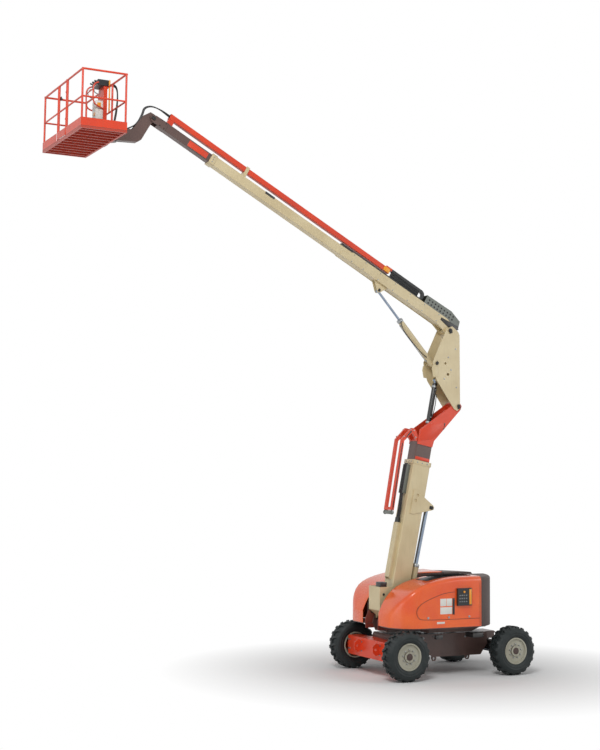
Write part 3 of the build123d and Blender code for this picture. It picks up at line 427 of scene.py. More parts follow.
class Photograph:
    """The camera at the photograph's place, the lamps, the floor and the white surroundings."""

    place = Vector((-15.642, -24.329, 4.031))
    turn_deg = -26.82
    tilt_deg = 5.40
    roll_deg = 0.64
    focal_px = 1385.9
    centre_px = (288.2, 339.9)

    def camera(self) -> None:
        """Adds the camera."""
        data = bpy.data.cameras.new("photograph")
        data.sensor_width = 36.0
        data.lens = self.focal_px * data.sensor_width / PHOTO_HEIGHT
        data.shift_x = (PHOTO_WIDTH / 2 - self.centre_px[0]) / PHOTO_HEIGHT
        data.shift_y = (self.centre_px[1] - PHOTO_HEIGHT / 2) / PHOTO_HEIGHT
        data.clip_end = 200.0
        camera = bpy.data.objects.new("photograph", data)
        turned = Matrix.Rotation(math.radians(self.turn_deg), 4, "Z")
        turned = turned @ Matrix.Rotation(math.radians(90 + self.tilt_deg), 4, "X")
        turned = turned @ Matrix.Rotation(math.radians(self.roll_deg), 4, "Z")
        camera.matrix_world = Matrix.Translation(self.place) @ turned
        bpy.context.scene.collection.objects.link(camera)
        bpy.context.scene.camera = camera

    def lamp(self, name: str, place: Point, aim: Point, size: float, power: float) -> None:
        """Adds one soft square lamp that faces a point."""
        data = bpy.data.lights.new(name, "AREA")
        data.size = size
        data.energy = power
        lamp = bpy.data.objects.new(name, data)
        turn = (Vector(aim) - Vector(place)).to_track_quat("-Z", "Y").to_matrix().to_4x4()
        lamp.matrix_world = Matrix.Translation(Vector(place)) @ turn
        bpy.context.scene.collection.objects.link(lamp)

    def lamps(self) -> None:
        """Adds the key from the upper left, the fill from the right and a low front light."""
        self.lamp("key", (-14.0, -16.0, 19.0), (-1.0, 0.0, 4.5), 7.0, 2500.0)
        self.lamp("fill", (14.0, -14.0, 8.0), (-0.5, 0.0, 4.0), 10.0, 620.0)
        self.lamp("front", (-16.0, -2.0, 3.0), (-1.0, 0.0, 5.0), 8.0, 330.0)

    def surroundings(self) -> None:
        """Makes the world: plain light on the object, and white to the camera and in reflections."""
        world = bpy.data.worlds.new("studio")
        bpy.context.scene.world = world
        world.use_nodes = True
        tree = world.node_tree
        tree.nodes.clear()
        seen = self.seen_directly(tree)
        dim = add_node(tree, "Background", {"Color": (1.0, 1.0, 1.0, 1.0), "Strength": 0.30})
        white = add_node(tree, "Background", {"Color": (1.0, 1.0, 1.0, 1.0), "Strength": 1.0})
        both = add_node(tree, "MixShader", {0: seen, 1: dim.outputs[0], 2: white.outputs[0]})
        output = add_node(tree, "OutputWorld")
        tree.links.new(both.outputs[0], output.inputs["Surface"])

    def seen_directly(self, tree: bpy.types.NodeTree) -> bpy.types.NodeSocket:
        """Returns 1 for rays of the camera, of gloss and through glass."""
        path = add_node(tree, "LightPath")
        first = add_node(tree, "Math", {0: path.outputs["Is Camera Ray"], 1: path.outputs["Is Glossy Ray"]},
                         operation="MAXIMUM")
        both = add_node(tree, "Math", {0: first.outputs[0], 1: path.outputs["Is Transmission Ray"]},
                        operation="MAXIMUM")
        return both.outputs[0]

    def floor(self) -> None:
        """Lays a pale floor that turns to the white of the surroundings away from the machine."""
        body = bmesh.new()
        bmesh.ops.create_circle(body, cap_ends=True, segments=96, radius=90.0)
        data = bpy.data.meshes.new("floor")
        body.to_mesh(data)
        body.free()
        floor = bpy.data.objects.new("floor", data)
        bpy.context.scene.collection.objects.link(floor)
        material, tree, shader = new_material("studio_floor")
        where = add_node(tree, "TexCoord").outputs["Object"]
        distance = add_node(tree, "VectorMath", {0: where}, operation="LENGTH").outputs["Value"]
        far = remap(tree, distance, 2.0, 5.5)
        shader.inputs["Base Color"].default_value = (0.96, 0.96, 0.96, 1.0)
        shader.inputs["Roughness"].default_value = 0.9
        shader.inputs["Specular IOR Level"].default_value = 0.1
        glow = add_node(tree, "Emission", {"Color": (1.0, 1.0, 1.0, 1.0), "Strength": 1.0})
        share = add_node(tree, "Math", {0: far, 1: self.seen_directly(tree)}, operation="MULTIPLY").outputs[0]
        both = add_node(tree, "MixShader", {0: share, 1: shader.outputs[0], 2: glow.outputs[0]})
        output = next(n for n in tree.nodes if n.type == "OUTPUT_MATERIAL")
        tree.links.new(both.outputs[0], output.inputs["Surface"])
        data.materials.append(material)

    def build(self) -> None:
        """Builds the whole studio."""
        self.camera()
        self.lamps()
        self.surroundings()
        self.floor()
        log.info("studio built")


def finish_piece(body: bmesh.types.BMesh, name: str, rides: str, key: str,
                 smooth_deg: float = 35.0, place: Place = None) -> bpy.types.Object:
    """Turns a bmesh to a finished piece that rides on a body.

    Args:
        body: the mesh, freed here.
        name: the piece's name.
        rides: the CAD body that carries it.
        key: its finish.
        smooth_deg: edges flatter than this are shaded smooth.
        place: a matrix for the mesh, or nothing.

    Returns:
        The object.
    """
    if place is not None:
        bmesh.ops.transform(body, matrix=place, verts=body.verts)
    bmesh.ops.recalc_face_normals(body, faces=body.faces)
    for face in body.faces:
        face.smooth = True
    for edge in body.edges:
        if len(edge.link_faces) == 2:
            edge.smooth = edge.calc_face_angle(0.0) < math.radians(smooth_deg)
    data = bpy.data.meshes.new(name)
    body.to_mesh(data)
    body.free()
    data.materials.append(palette.get(key))
    made = bpy.data.objects.new(name, data)
    bpy.context.scene.collection.objects.link(made)
    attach(made, rides)
    log.info("%s: %d faces on %s", name, len(data.polygons), rides)
    return made


def stamp(body: bmesh.types.BMesh, part: bmesh.types.BMesh, places: Iterable[Place] = (None,)) -> None:
    """Copies a small part into a mesh once at each place.

    Args:
        body: the mesh that gets the copies.
        part: the part, freed here.
        places: a matrix for each copy, or nothing to leave it where it is.
    """
    bmesh.ops.recalc_face_normals(part, faces=part.faces)
    data = bpy.data.meshes.new("part")
    part.to_mesh(data)
    part.free()
    for place in places:
        copy = data.copy()
        if place is not None:
            copy.transform(place)
        body.from_mesh(copy)
        bpy.data.meshes.remove(copy)
    bpy.data.meshes.remove(data)


def round_edges(part: bmesh.types.BMesh, edges: list, width: float, steps: int = 2,
                clamp: bool = False) -> None:
    """Rounds edges of a mesh.

    Args:
        part: the mesh.
        edges: its edges to round.
        width: the rounding's width.
        steps: its segments.
        clamp: whether the width stays below what would overlap.
    """
    bmesh.ops.bevel(part, geom=edges, offset=width, offset_type="OFFSET", segments=steps, profile=0.5,
                    affect="EDGES", material=-1, clamp_overlap=clamp)


def block_part(low: Sequence[float], high: Sequence[float], bevel: float = 0.0) -> bmesh.types.BMesh:
    """Makes a block with rounded edges between two corners.

    Args:
        low: the lowest corner.
        high: the highest corner.
        bevel: width of the rounding.

    Returns:
        The part.
    """
    low, high = Vector(low), Vector(high)
    part = bmesh.new()
    bmesh.ops.create_cube(part, size=1.0)
    bmesh.ops.scale(part, vec=high - low, verts=part.verts)
    bmesh.ops.translate(part, vec=(low + high) / 2, verts=part.verts)
    if bevel:
        round_edges(part, part.edges[:], bevel)
    return part


def add_block(body: bmesh.types.BMesh, low: Sequence[float], high: Sequence[float], bevel: float = 0.0,
              places: Iterable[Place] = (None,)) -> None:
    """Adds a rounded block to a mesh, once at each place."""
    stamp(body, block_part(low, high, bevel), places)


def rod_part(start: Vector, end: Vector, radius: float, sides: int = 20, chamfer: float = 0.0,
             end_radius: float | None = None) -> bmesh.types.BMesh:
    """Makes a round bar between two points.

    Args:
        start: centre of one end.
        end: centre of the other end.
        radius: the bar's radius.
        sides: sides of its section, 6 for a nut.
        chamfer: width of the rounding at both ends.
        end_radius: radius at the other end where it tapers.

    Returns:
        The part.
    """
    start, end = Vector(start), Vector(end)
    way = end - start
    part = bmesh.new()
    bmesh.ops.create_cone(part, cap_ends=True, segments=sides, radius1=radius,
                          radius2=radius if end_radius is None else end_radius, depth=way.length)
    if chamfer:
        rims = [e for e in part.edges if abs(e.verts[0].co.z - e.verts[1].co.z) < 1e-6]
        round_edges(part, rims, chamfer)
    turn = way.to_track_quat("Z", "Y").to_matrix().to_4x4()
    bmesh.ops.transform(part, matrix=Matrix.Translation((start + end) / 2) @ turn, verts=part.verts)
    return part


def add_rod(body: bmesh.types.BMesh, start: Vector, end: Vector, radius: float, sides: int = 20,
            chamfer: float = 0.0, end_radius: float | None = None) -> None:
    """Adds a round bar between two points to a mesh."""
    stamp(body, rod_part(start, end, radius, sides, chamfer, end_radius))


def spun_part(profile: Sequence[tuple[float, float]], steps: int = 48) -> bmesh.types.BMesh:
    """Spins a closed profile of radius and height round the Z axis.

    Args:
        profile: its points; the first and last are joined.
        steps: steps of the full turn.

    Returns:
        The part.
    """
    part = bmesh.new()
    points = [part.verts.new((r, 0.0, h)) for r, h in profile]
    edges = [part.edges.new((points[i], points[(i + 1) % len(points)])) for i in range(len(points))]
    bmesh.ops.spin(part, geom=points + edges, cent=(0, 0, 0), axis=(0, 0, 1), angle=math.tau, steps=steps,
                   use_merge=True)
    bmesh.ops.remove_doubles(part, verts=part.verts, dist=MERGE)
    return part


def plate_part(outline: Outline, low: float, high: float, bevel: float = 0.0) -> bmesh.types.BMesh:
    """Makes a plate of an outline in X and Z, between two Y values.

    Args:
        outline: its corners.
        low: the lower Y.
        high: the higher Y.
        bevel: width of the rounding of its edges.

    Returns:
        The part.
    """
    part = bmesh.new()
    corners = [part.verts.new((x, low, z)) for x, z in outline]
    face = part.faces.new(corners)
    made = bmesh.ops.extrude_face_region(part, geom=[face])
    raised = [g for g in made["geom"] if isinstance(g, bmesh.types.BMVert)]
    bmesh.ops.translate(part, vec=(0.0, high - low, 0.0), verts=raised)
    bmesh.ops.recalc_face_normals(part, faces=part.faces)
    if bevel:
        round_edges(part, part.edges[:], bevel)
    return part


def add_plate(body: bmesh.types.BMesh, outline: Sequence[tuple[float, float]], low: float, high: float,
              bevel: float = 0.0, places: Iterable[Place] = (None,)) -> None:
    """Adds a plate of an outline in X and Z to a mesh, once at each place."""
    stamp(body, plate_part(outline, low, high, bevel), places)


def add_bolt(body: bmesh.types.BMesh, foot: Vector, way: Vector, size: float = 0.012) -> None:
    """Adds a hexagon bolt head on its washer.

    Args:
        body: the mesh that gets it.
        foot: centre of the washer's seat.
        way: the direction that the head points in.
        size: the head's radius.
    """
    way = way.normalized()
    add_rod(body, foot - way * 0.001, foot + way * size * 0.25, size * 1.35, sides=14)
    add_rod(body, foot + way * size * 0.2, foot + way * size * 0.95, size, sides=6, chamfer=size * 0.1)


def add_pin_head(body: bmesh.types.BMesh, centre: Vector, way: Vector, radius: float, down: Vector) -> None:
    """Adds a pivot pin's head with its keeper plate and two bolts.

    Args:
        body: the mesh that gets it.
        centre: centre of the plate's outer face under the head.
        way: the direction that the head points in.
        radius: the pin's radius.
        down: the direction in the plate in which the keeper lies.
    """
    way = way.normalized()
    down = down.normalized()
    add_rod(body, centre - way * 0.002, centre + way * 0.016, radius * 1.25, sides=28, chamfer=0.003)
    add_rod(body, centre + way * 0.012, centre + way * 0.022, radius * 0.35, sides=12, chamfer=0.002)
    side = down.cross(way)
    turned = Matrix((side, down, way)).transposed().to_4x4()
    place = Matrix.Translation(centre + down * radius * 1.3) @ turned
    stamp(body, block_part((-radius * 1.1, -0.014, -0.001), (radius * 1.1, 0.014, 0.008), 0.002), [place])
    for end in (-1, 1):
        add_bolt(body, centre + down * radius * 1.3 + side * radius * 0.75 * end + way * 0.008, way, 0.007)


def hose(name: str, points: Iterable[Point], radius: float, rides: str, key: str = "hose") -> bpy.types.Object:
    """Makes a fixed hose or pipe as a smooth tube through its control points.

    Args:
        name: the piece's name.
        points: control points of its line.
        radius: the tube's radius.
        rides: the CAD body that carries it.
        key: its finish.

    Returns:
        The object, a closed mesh.
    """
    points = list(points)
    curve = bpy.data.curves.new(name, "CURVE")
    curve.dimensions = "3D"
    curve.bevel_depth = radius
    curve.bevel_resolution = 3
    curve.resolution_u = 8
    curve.use_fill_caps = True
    spline = curve.splines.new("NURBS")
    spline.points.add(len(points) - 1)
    for control, point in zip(spline.points, points):
        control.co = (*point, 1.0)
    spline.order_u = 3
    spline.use_endpoint_u = True
    source = bpy.data.objects.new(name + "_line", curve)
    bpy.context.scene.collection.objects.link(source)
    graph = bpy.context.evaluated_depsgraph_get()
    data = bpy.data.meshes.new_from_object(source.evaluated_get(graph))
    bpy.data.objects.remove(source)
    bpy.data.curves.remove(curve)
    data.name = name
    body = bmesh.new()
    body.from_mesh(data)
    bpy.data.meshes.remove(data)
    bmesh.ops.remove_doubles(body, verts=body.verts, dist=MERGE)
    return finish_piece(body, name, rides, key, smooth_deg=60.0)


@dataclass
class Wheel:
    """One wheel: a lugged off-road tyre on its rim, with nuts round the hub."""

    corner: str
    carcass_radius: float = 0.452
    lug_radius: float = 0.4845
    half_width: float = 0.174
    bead_radius: float = 0.2495
    lug_count: int = 20
    lug_length: float = 0.062
    nut_count: int = 9
    nut_circle: float = 0.138
    nut_radius: float = 0.014
    stud_radius: float = 0.007
    disc_depth: float = 0.034
    cap_circle: float = 0.086
    cap_bolts: int = 6

    @property
    def place(self) -> Matrix:
        """The matrix from the wheel's own frame, its axis along Z and outwards, to the machine."""
        low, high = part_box("tyre_" + self.corner)
        outwards = Vector((0.0, Side.NEAR.value if "near" in self.corner else Side.FAR.value, 0.0))
        turn = outwards.to_track_quat("Z", "X").to_matrix().to_4x4()
        return Matrix.Translation((low + high) / 2) @ turn

    @property
    def rides(self) -> str:
        """The body that carries the wheel."""
        return "wheel_" + self.corner

    def carcass(self, body: bmesh.types.BMesh) -> None:
        """Spins the tyre's casing, with ribs on its sidewalls."""
        w, r = self.half_width, self.carcass_radius
        half = [
            (self.bead_radius, w - 0.040), (0.262, w - 0.036), (0.272, w - 0.026), (0.290, w - 0.014),
            (0.318, w - 0.006), (0.322, w - 0.003), (0.328, w - 0.006), (0.362, w - 0.002),
            (0.366, w + 0.001), (0.372, w - 0.002), (0.398, w - 0.006), (0.426, w - 0.016),
            (r - 0.010, w - 0.034), (r, w - 0.058), (r + 0.002, w - 0.110),
        ]
        profile = half + [(radius, -height) for radius, height in reversed(half)]
        stamp(body, spun_part(profile, steps=80))

    def lugs(self, body: bmesh.types.BMesh) -> None:
        """Adds the two staggered rows of slanted lugs that run over the shoulders."""
        pitch = math.tau / self.lug_count
        for row in (-1, 1):
            part = bmesh.new()
            bmesh.ops.create_cube(part, size=1.0)
            across = [e for e in part.edges if abs(e.verts[0].co.z - e.verts[1].co.z) > 0.5]
            bmesh.ops.subdivide_edges(part, edges=across, cuts=4, use_grid_fill=True)
            for v in part.verts:
                self.shape_lug(v, row)
            shift = 0.5 if row > 0 else 0.0
            stamp(body, part, [Matrix.Rotation(pitch * (k + shift), 4, "Z") for k in range(self.lug_count)])

    def shape_lug(self, v: bmesh.types.BMVert, row: int) -> None:
        """Moves a vertex of a unit cube to its place on a lug of this row."""
        share = v.co.z + 0.5
        height = -0.012 + share * (self.half_width - 0.010)
        over = max(0.0, share - 0.70) / 0.30
        outer = self.lug_radius - 0.052 * over ** 1.6
        inner = self.carcass_radius - 0.012 - 0.034 * over
        radius = outer if v.co.x > 0 else inner
        broad = self.lug_length * (0.62 + 0.55 * share) * (0.92 if v.co.x > 0 else 1.12)
        slant = 0.055 * (share - 0.4) + 0.014 * math.sin(math.pi * share)
        angle = (v.co.y * broad + slant) / self.lug_radius
        v.co = Vector((radius * math.cos(angle), radius * math.sin(angle), row * height))

    def rim_dress(self) -> None:
        """Adds the wheel nuts with their studs, and the hub's cap with its bolts."""
        lowest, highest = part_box("rim_" + self.corner)
        body = bmesh.new()
        disc = (highest.y - lowest.y) / 2 - self.disc_depth
        parts = ((-0.004, 0.018, self.nut_radius, 6, 0.0015), (0.012, 0.030, self.stud_radius, 12, 0.001))
        for k in range(self.nut_count):
            angle = math.tau * k / self.nut_count
            spot = Vector((self.nut_circle * math.cos(angle), self.nut_circle * math.sin(angle), 0.0))
            for low, high, radius, sides, chamfer in parts:
                start = spot + Vector((0, 0, disc + low))
                add_rod(body, start, spot + Vector((0, 0, disc + high)), radius, sides, chamfer)
        finish_piece(body, "nuts_" + self.corner, self.rides, "steel", place=self.place)
        body = bmesh.new()
        add_rod(body, (0, 0, disc - 0.004), (0, 0, disc + 0.022), 0.105, sides=40, chamfer=0.006)
        add_rod(body, (0, 0, disc + 0.018), (0, 0, disc + 0.033), 0.070, sides=36, chamfer=0.006)
        for k in range(self.cap_bolts):
            angle = math.tau * k / self.cap_bolts
            x, y = self.cap_circle * math.cos(angle), self.cap_circle * math.sin(angle)
            add_bolt(body, Vector((x, y, disc + 0.0215)), Vector((0, 0, 1)), 0.008)
        finish_piece(body, "hub_" + self.corner, self.rides, "iron", place=self.place)

    def build(self) -> None:
        """Builds the tyre and the rim's small parts."""
        body = bmesh.new()
        self.carcass(body)
        self.lugs(body)
        name = "lugged_tyre_" + self.corner
        tyre = finish_piece(body, name, self.rides, "rubber", place=self.place)
        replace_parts(tyre, "tyre_" + self.corner)
        wear("rim_" + self.corner, "rim")
        self.rim_dress()


def both_sides(y: float) -> tuple[float, float]:
    """Returns the near and far place of something at this distance from the middle."""
    return Side.NEAR.value * y, Side.FAR.value * y


def both_spans(inner: float, outer: float) -> tuple[tuple[float, float], tuple[float, float]]:
    """Returns the near and far span of something between these distances from the middle."""
    return (-outer, -inner), (inner, outer)


def add_pin_pair(body: bmesh.types.BMesh, centre: Vector, reach: float, radius: float, down: Vector) -> None:
    """Adds the two heads of a pivot pin.

    Args:
        body: the mesh that gets them.
        centre: the pin's centre.
        reach: distance of the plates' outer faces from the middle.
        radius: the pin's radius.
        down: the direction in which the keepers lie.
    """
    for y in both_sides(reach):
        add_pin_head(body, centre + Vector((0, y, 0)), Vector((0, y, 0)), radius, down)


def add_bolt_pairs(body: bmesh.types.BMesh, spots: Iterable[Point], reach: float, size: float) -> None:
    """Adds bolts at these points of the middle plane, moved out to both sides.

    Args:
        body: the mesh that gets them.
        spots: points in the middle plane.
        reach: distance of the washers' seats from the middle.
        size: the heads' radius.
    """
    spots = list(spots)
    for y in both_sides(reach):
        for spot in spots:
            add_bolt(body, Vector((spot[0], y, spot[2])), Vector((0, y, 0)), size)


def add_collar(body: bmesh.types.BMesh, line: Line, start: float, end: float, low: float, high: float,
               half: float, thick: float) -> None:
    """Adds four flat bars round a rectangular tube.

    Args:
        body: the mesh that gets them.
        line: the tube's directions.
        start: where the collar starts along the tube.
        end: where it ends.
        low: the tube's lower face across it.
        high: the tube's upper face.
        half: the tube's half width.
        thick: the bars' thickness.
    """
    places = [line.matrix()]
    edge = 0.002
    bevel = 0.003
    add_block(body, (start, -half - thick, high - edge), (end, half + thick, high + thick), bevel, places)
    add_block(body, (start, -half - thick, low - thick), (end, half + thick, low + edge), bevel, places)
    for y0, y1 in both_spans(half - edge, half + thick):
        add_block(body, (start, y0, low - thick + edge), (end, y1, high + thick - edge), bevel, places)


@dataclass
class Hood:
    """One engine or tank hood: a shell with a curved top and rounded shoulders."""

    side: Side
    inner: float = 0.311
    outer: float = 1.118
    bottom: float = 1.002
    wall: float = 0.008
    shoulder: float = 0.085
    inner_round: float = 0.02
    rim_round: float = 0.022
    sharp_deg: float = 50.0
    nose_reach: float = 0.57
    nose_taper: float = 0.42
    front: float = -1.428
    stations: tuple[float, ...] = (0.0, 0.012, 0.035, 0.07, 0.115, 0.17, 0.24, 0.32, 0.42, 0.55, 0.72,
                                   0.9, 1.1, 1.3, 1.5, 1.7, 1.9)
    seam_radius: float = 0.004
    slats: int = 14
    slat_deg: float = 28.0
    door_bottom: float = 1.20
    top_line: tuple[tuple[float, float], ...] = (
        (0.0, 1.262), (0.12, 1.498), (0.34, 1.720), (0.69, 1.870), (1.23, 1.964), (1.9, 1.983))

    def top(self, distance: float) -> float:
        """Returns the top's height at this distance from the front, on a smooth line through its points."""
        line = self.top_line
        for i in range(len(line) - 1):
            (x0, z0), (x1, z1) = line[i], line[i + 1]
            if distance <= x1 + 1e-9:
                slope_in = self.slope(i)
                slope_out = self.slope(i + 1)
                gap = x1 - x0
                t = (distance - x0) / gap
                return ((2 * t ** 3 - 3 * t ** 2 + 1) * z0 + (t ** 3 - 2 * t ** 2 + t) * gap * slope_in
                        + (3 * t ** 2 - 2 * t ** 3) * z1 + (t ** 3 - t ** 2) * gap * slope_out)
        return line[-1][1]

    def slope(self, i: int) -> float:
        """Returns the top line's slope at one of its points."""
        line = self.top_line
        before, after = max(0, i - 1), min(len(line) - 1, i + 1)
        return (line[after][1] - line[before][1]) / (line[after][0] - line[before][0])

    def arch(self, distance: float) -> list[tuple[float, float]]:
        """Returns the shell's section at this distance from the front, as widths and heights."""
        top = self.top(distance)
        lack = max(0.0, 1.0 - distance / self.nose_reach)
        half = self.outer - self.nose_taper * lack ** 3.3
        r, s = self.inner_round, self.shoulder
        points = [(self.inner, self.bottom + (top - r - self.bottom) * k / 3) for k in range(3)]
        points += [(self.inner + r - r * math.cos(a), top - r + r * math.sin(a))
                   for a in (k * math.pi / 8 for k in range(5))]
        flat = half - s - self.inner - r
        points += [(self.inner + r + flat * k / 4, top) for k in range(1, 4)]
        points += [(half - s + s * math.sin(a), top - s + s * math.cos(a))
                   for a in (k * math.pi / 16 for k in range(9))]
        points += [(half, top - s - (top - s - self.bottom) * k / 4) for k in range(1, 5)]
        return points

    def shell(self) -> bpy.types.Object:
        """Shapes a grid to the hood's shell and gives it its wall."""
        body = bmesh.new()
        across = len(self.arch(0.5))
        bmesh.ops.create_grid(body, x_segments=len(self.stations) - 1, y_segments=across - 1, size=0.5)
        ends = ([], [])
        for v in body.verts:
            i = round((v.co.x + 0.5) * (len(self.stations) - 1))
            j = round((v.co.y + 0.5) * (across - 1))
            wide, high = self.arch(self.stations[i])[j]
            v.co = Vector((self.front + self.stations[i], self.side.value * wide, high))
            if i in (0, len(self.stations) - 1):
                ends[1 if i else 0].append(v)
        for end in ends:
            bmesh.ops.contextual_create(body, geom=end)
        inside = [f for f in body.faces if abs(f.calc_center_median().y) < self.inner + 0.0001]
        bmesh.ops.delete(body, geom=inside, context="FACES")
        bmesh.ops.recalc_face_normals(body, faces=body.faces)
        limit = math.radians(self.sharp_deg)
        sharp = [e for e in body.edges if len(e.link_faces) == 2 and e.calc_face_angle(0.0) > limit]
        round_edges(body, sharp, self.rim_round, steps=3, clamp=True)
        bmesh.ops.recalc_face_normals(body, faces=body.faces)
        bmesh.ops.solidify(body, geom=body.faces[:], thickness=self.wall)
        name = self.side.name.lower()
        made = finish_piece(body, "rounded_hood_" + name, "hood_" + name, "hood_orange",
                            smooth_deg=32.0)
        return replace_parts(made, "hood_" + name)

    def seams(self) -> None:
        """Adds the rubber seams of the service door and the panel joint."""
        name = self.side.name.lower()
        y = self.side.value * (self.outer + 0.0005)
        door = [(-0.16, 1.69), (-0.34, 1.68), (-0.51, 1.64), (-0.86, 1.52), (-1.02, 1.41), (-1.05, 1.30),
                (-1.00, 1.20), (-0.93, 1.17), (-0.60, 1.16), (0.05, 1.16), (0.44, 1.16)]
        panel = [(0.44, 1.02), (0.44, 1.16), (0.44, 1.5), (0.44, 1.86)]
        for seam, route in (("door_seam_", door), ("panel_seam_", panel)):
            points = [(x, y, z) for x, z in route]
            hose(seam + name, points, self.seam_radius, "hood_" + name, "black_plastic")
        body = bmesh.new()
        z = self.door_bottom
        y0, y1 = sorted((y, y + self.side.value * 0.014))
        for x in (-0.78, -0.30, 0.18):
            start = (x, y - self.side.value * 0.004, z)
            add_rod(body, start, (x, y + self.side.value * 0.008, z), 0.022, 24, 0.002)
            add_block(body, (x - 0.005, y0, z - 0.018), (x + 0.005, y1, z + 0.018), 0.002)
        finish_piece(body, "door_latches_" + name, "hood_" + name, "steel")

    def panels(self) -> None:
        """Adds the near hood's blank white panels, its dark strip and the control box's small parts."""
        y = -self.outer
        body = bmesh.new()
        for low, high in (((-0.500, 1.42), (-0.360, 1.565)), ((-0.350, 1.42), (-0.225, 1.565)),
                          ((-0.500, 1.265), (-0.225, 1.40)), ((-0.575, 1.08), (-0.395, 1.118))):
            add_block(body, (low[0], y - 0.003, low[1]), (high[0], y + 0.001, high[1]), 0.001)
        finish_piece(body, "blank_panels", "hood_near", "vinyl")
        body = bmesh.new()
        add_block(body, (-0.215, y - 0.006, 1.25), (-0.165, y + 0.001, 1.57), 0.002)
        finish_piece(body, "panel_strip", "hood_near", "black_plastic")
        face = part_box("control_box")[0].y
        body = bmesh.new()
        for x in (-0.07, -0.02, 0.03, 0.08):
            for z in (1.50, 1.56, 1.62):
                add_rod(body, (x, face + 0.002, z), (x, face - 0.006, z), 0.012, 20, 0.002)
                add_rod(body, (x, face - 0.004, z), (x, face - 0.026, z + 0.008), 0.004, 10, 0.001)
        finish_piece(body, "control_switches", "hood_near", "steel")
        body = bmesh.new()
        add_block(body, (0.150, face - 0.006, 1.44), (0.205, face + 0.001, 1.74), 0.003)
        add_rod(body, (0.03, face + 0.002, 1.69), (0.03, face - 0.018, 1.69), 0.022, sides=28, chamfer=0.005)
        finish_piece(body, "control_strip", "hood_near", "yellow")

    def louvres(self) -> None:
        """Lays slats over the black cover of the near hood."""
        low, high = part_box("louvre_cover")
        body = bmesh.new()
        turn = Matrix.Rotation(math.radians(self.slat_deg), 4, "Y")
        for k in range(self.slats):
            x = low.x + 0.05 + k * (high.x - low.x - 0.1) / (self.slats - 1)
            lean = Matrix.Translation((x, 0.0, high.z - 0.002)) @ turn
            add_block(body, (-0.024, low.y + 0.03, -0.002), (0.024, high.y - 0.03, 0.002), 0.001, [lean])
        finish_piece(body, "louvre_slats", "hood_near", "black_plastic")

    def build(self) -> None:
        """Builds the hood with its small parts."""
        self.shell()
        self.seams()
        if self.side is Side.NEAR:
            self.panels()
            self.louvres()


@dataclass
class Chassis:
    """Small parts of the chassis: ring bolts, steering hoses, glands and axle fastenings."""

    ring_radius: float = 0.415
    ring_bolts: int = 28
    deck: float = 0.80
    rod_height: float = 0.445
    rod_x: float = 1.125
    axle_face: float = -1.45
    frame_side: float = 0.43
    bolt_radius: float = 0.014

    def ring(self) -> None:
        """Sets bolts round the swing bearing."""
        body = bmesh.new()
        for k in range(self.ring_bolts):
            angle = math.tau * k / self.ring_bolts
            spot = Vector((self.ring_radius * math.cos(angle), self.ring_radius * math.sin(angle), self.deck))
            add_bolt(body, spot, Vector((0, 0, 1)))
        finish_piece(body, "bearing_bolts", "chassis", "steel")

    def steering(self) -> None:
        """Adds the glands, rod ends and hoses of the steering cylinder."""
        x = self.rod_x
        z = self.rod_height
        body = bmesh.new()
        for side in (-1, 1):
            for start, end, radius, sides in ((0.165, 0.20, 0.046, 28), (0.535, 0.562, 0.026, 24)):
                add_rod(body, (x, side * start, z), (x, side * end, z), radius, sides, 0.003)
        finish_piece(body, "steering_glands", "chassis", "steel")
        for side in Side:
            y = side.value
            points = ((x, y * 0.12, z + 0.035), (x, y * 0.12, 0.53), (x - 0.03, y * 0.09, 0.60),
                      (x + 0.02, y * 0.06, 0.66))
            hose("steering_hose_" + side.name.lower(), points, 0.009, "chassis")

    def fastenings(self) -> None:
        """Bolts the axle and the frame's corners."""
        body = bmesh.new()
        for side in (-1, 1):
            for y in (0.30, 0.42, 0.78, 0.84):
                for z in (0.44, 0.62):
                    foot = Vector((self.axle_face, side * y, z))
                    add_bolt(body, foot, Vector((-1, 0, 0)), self.bolt_radius)
        for x in (-0.70, -0.45, 0.55, 0.80, 0.98):
            add_bolt_pairs(body, [(x, 0, 0.72)], self.frame_side, self.bolt_radius)
        finish_piece(body, "frame_bolts", "chassis", "steel")

    def build(self) -> None:
        """Builds the chassis' small parts."""
        self.ring()
        self.steering()
        self.fastenings()


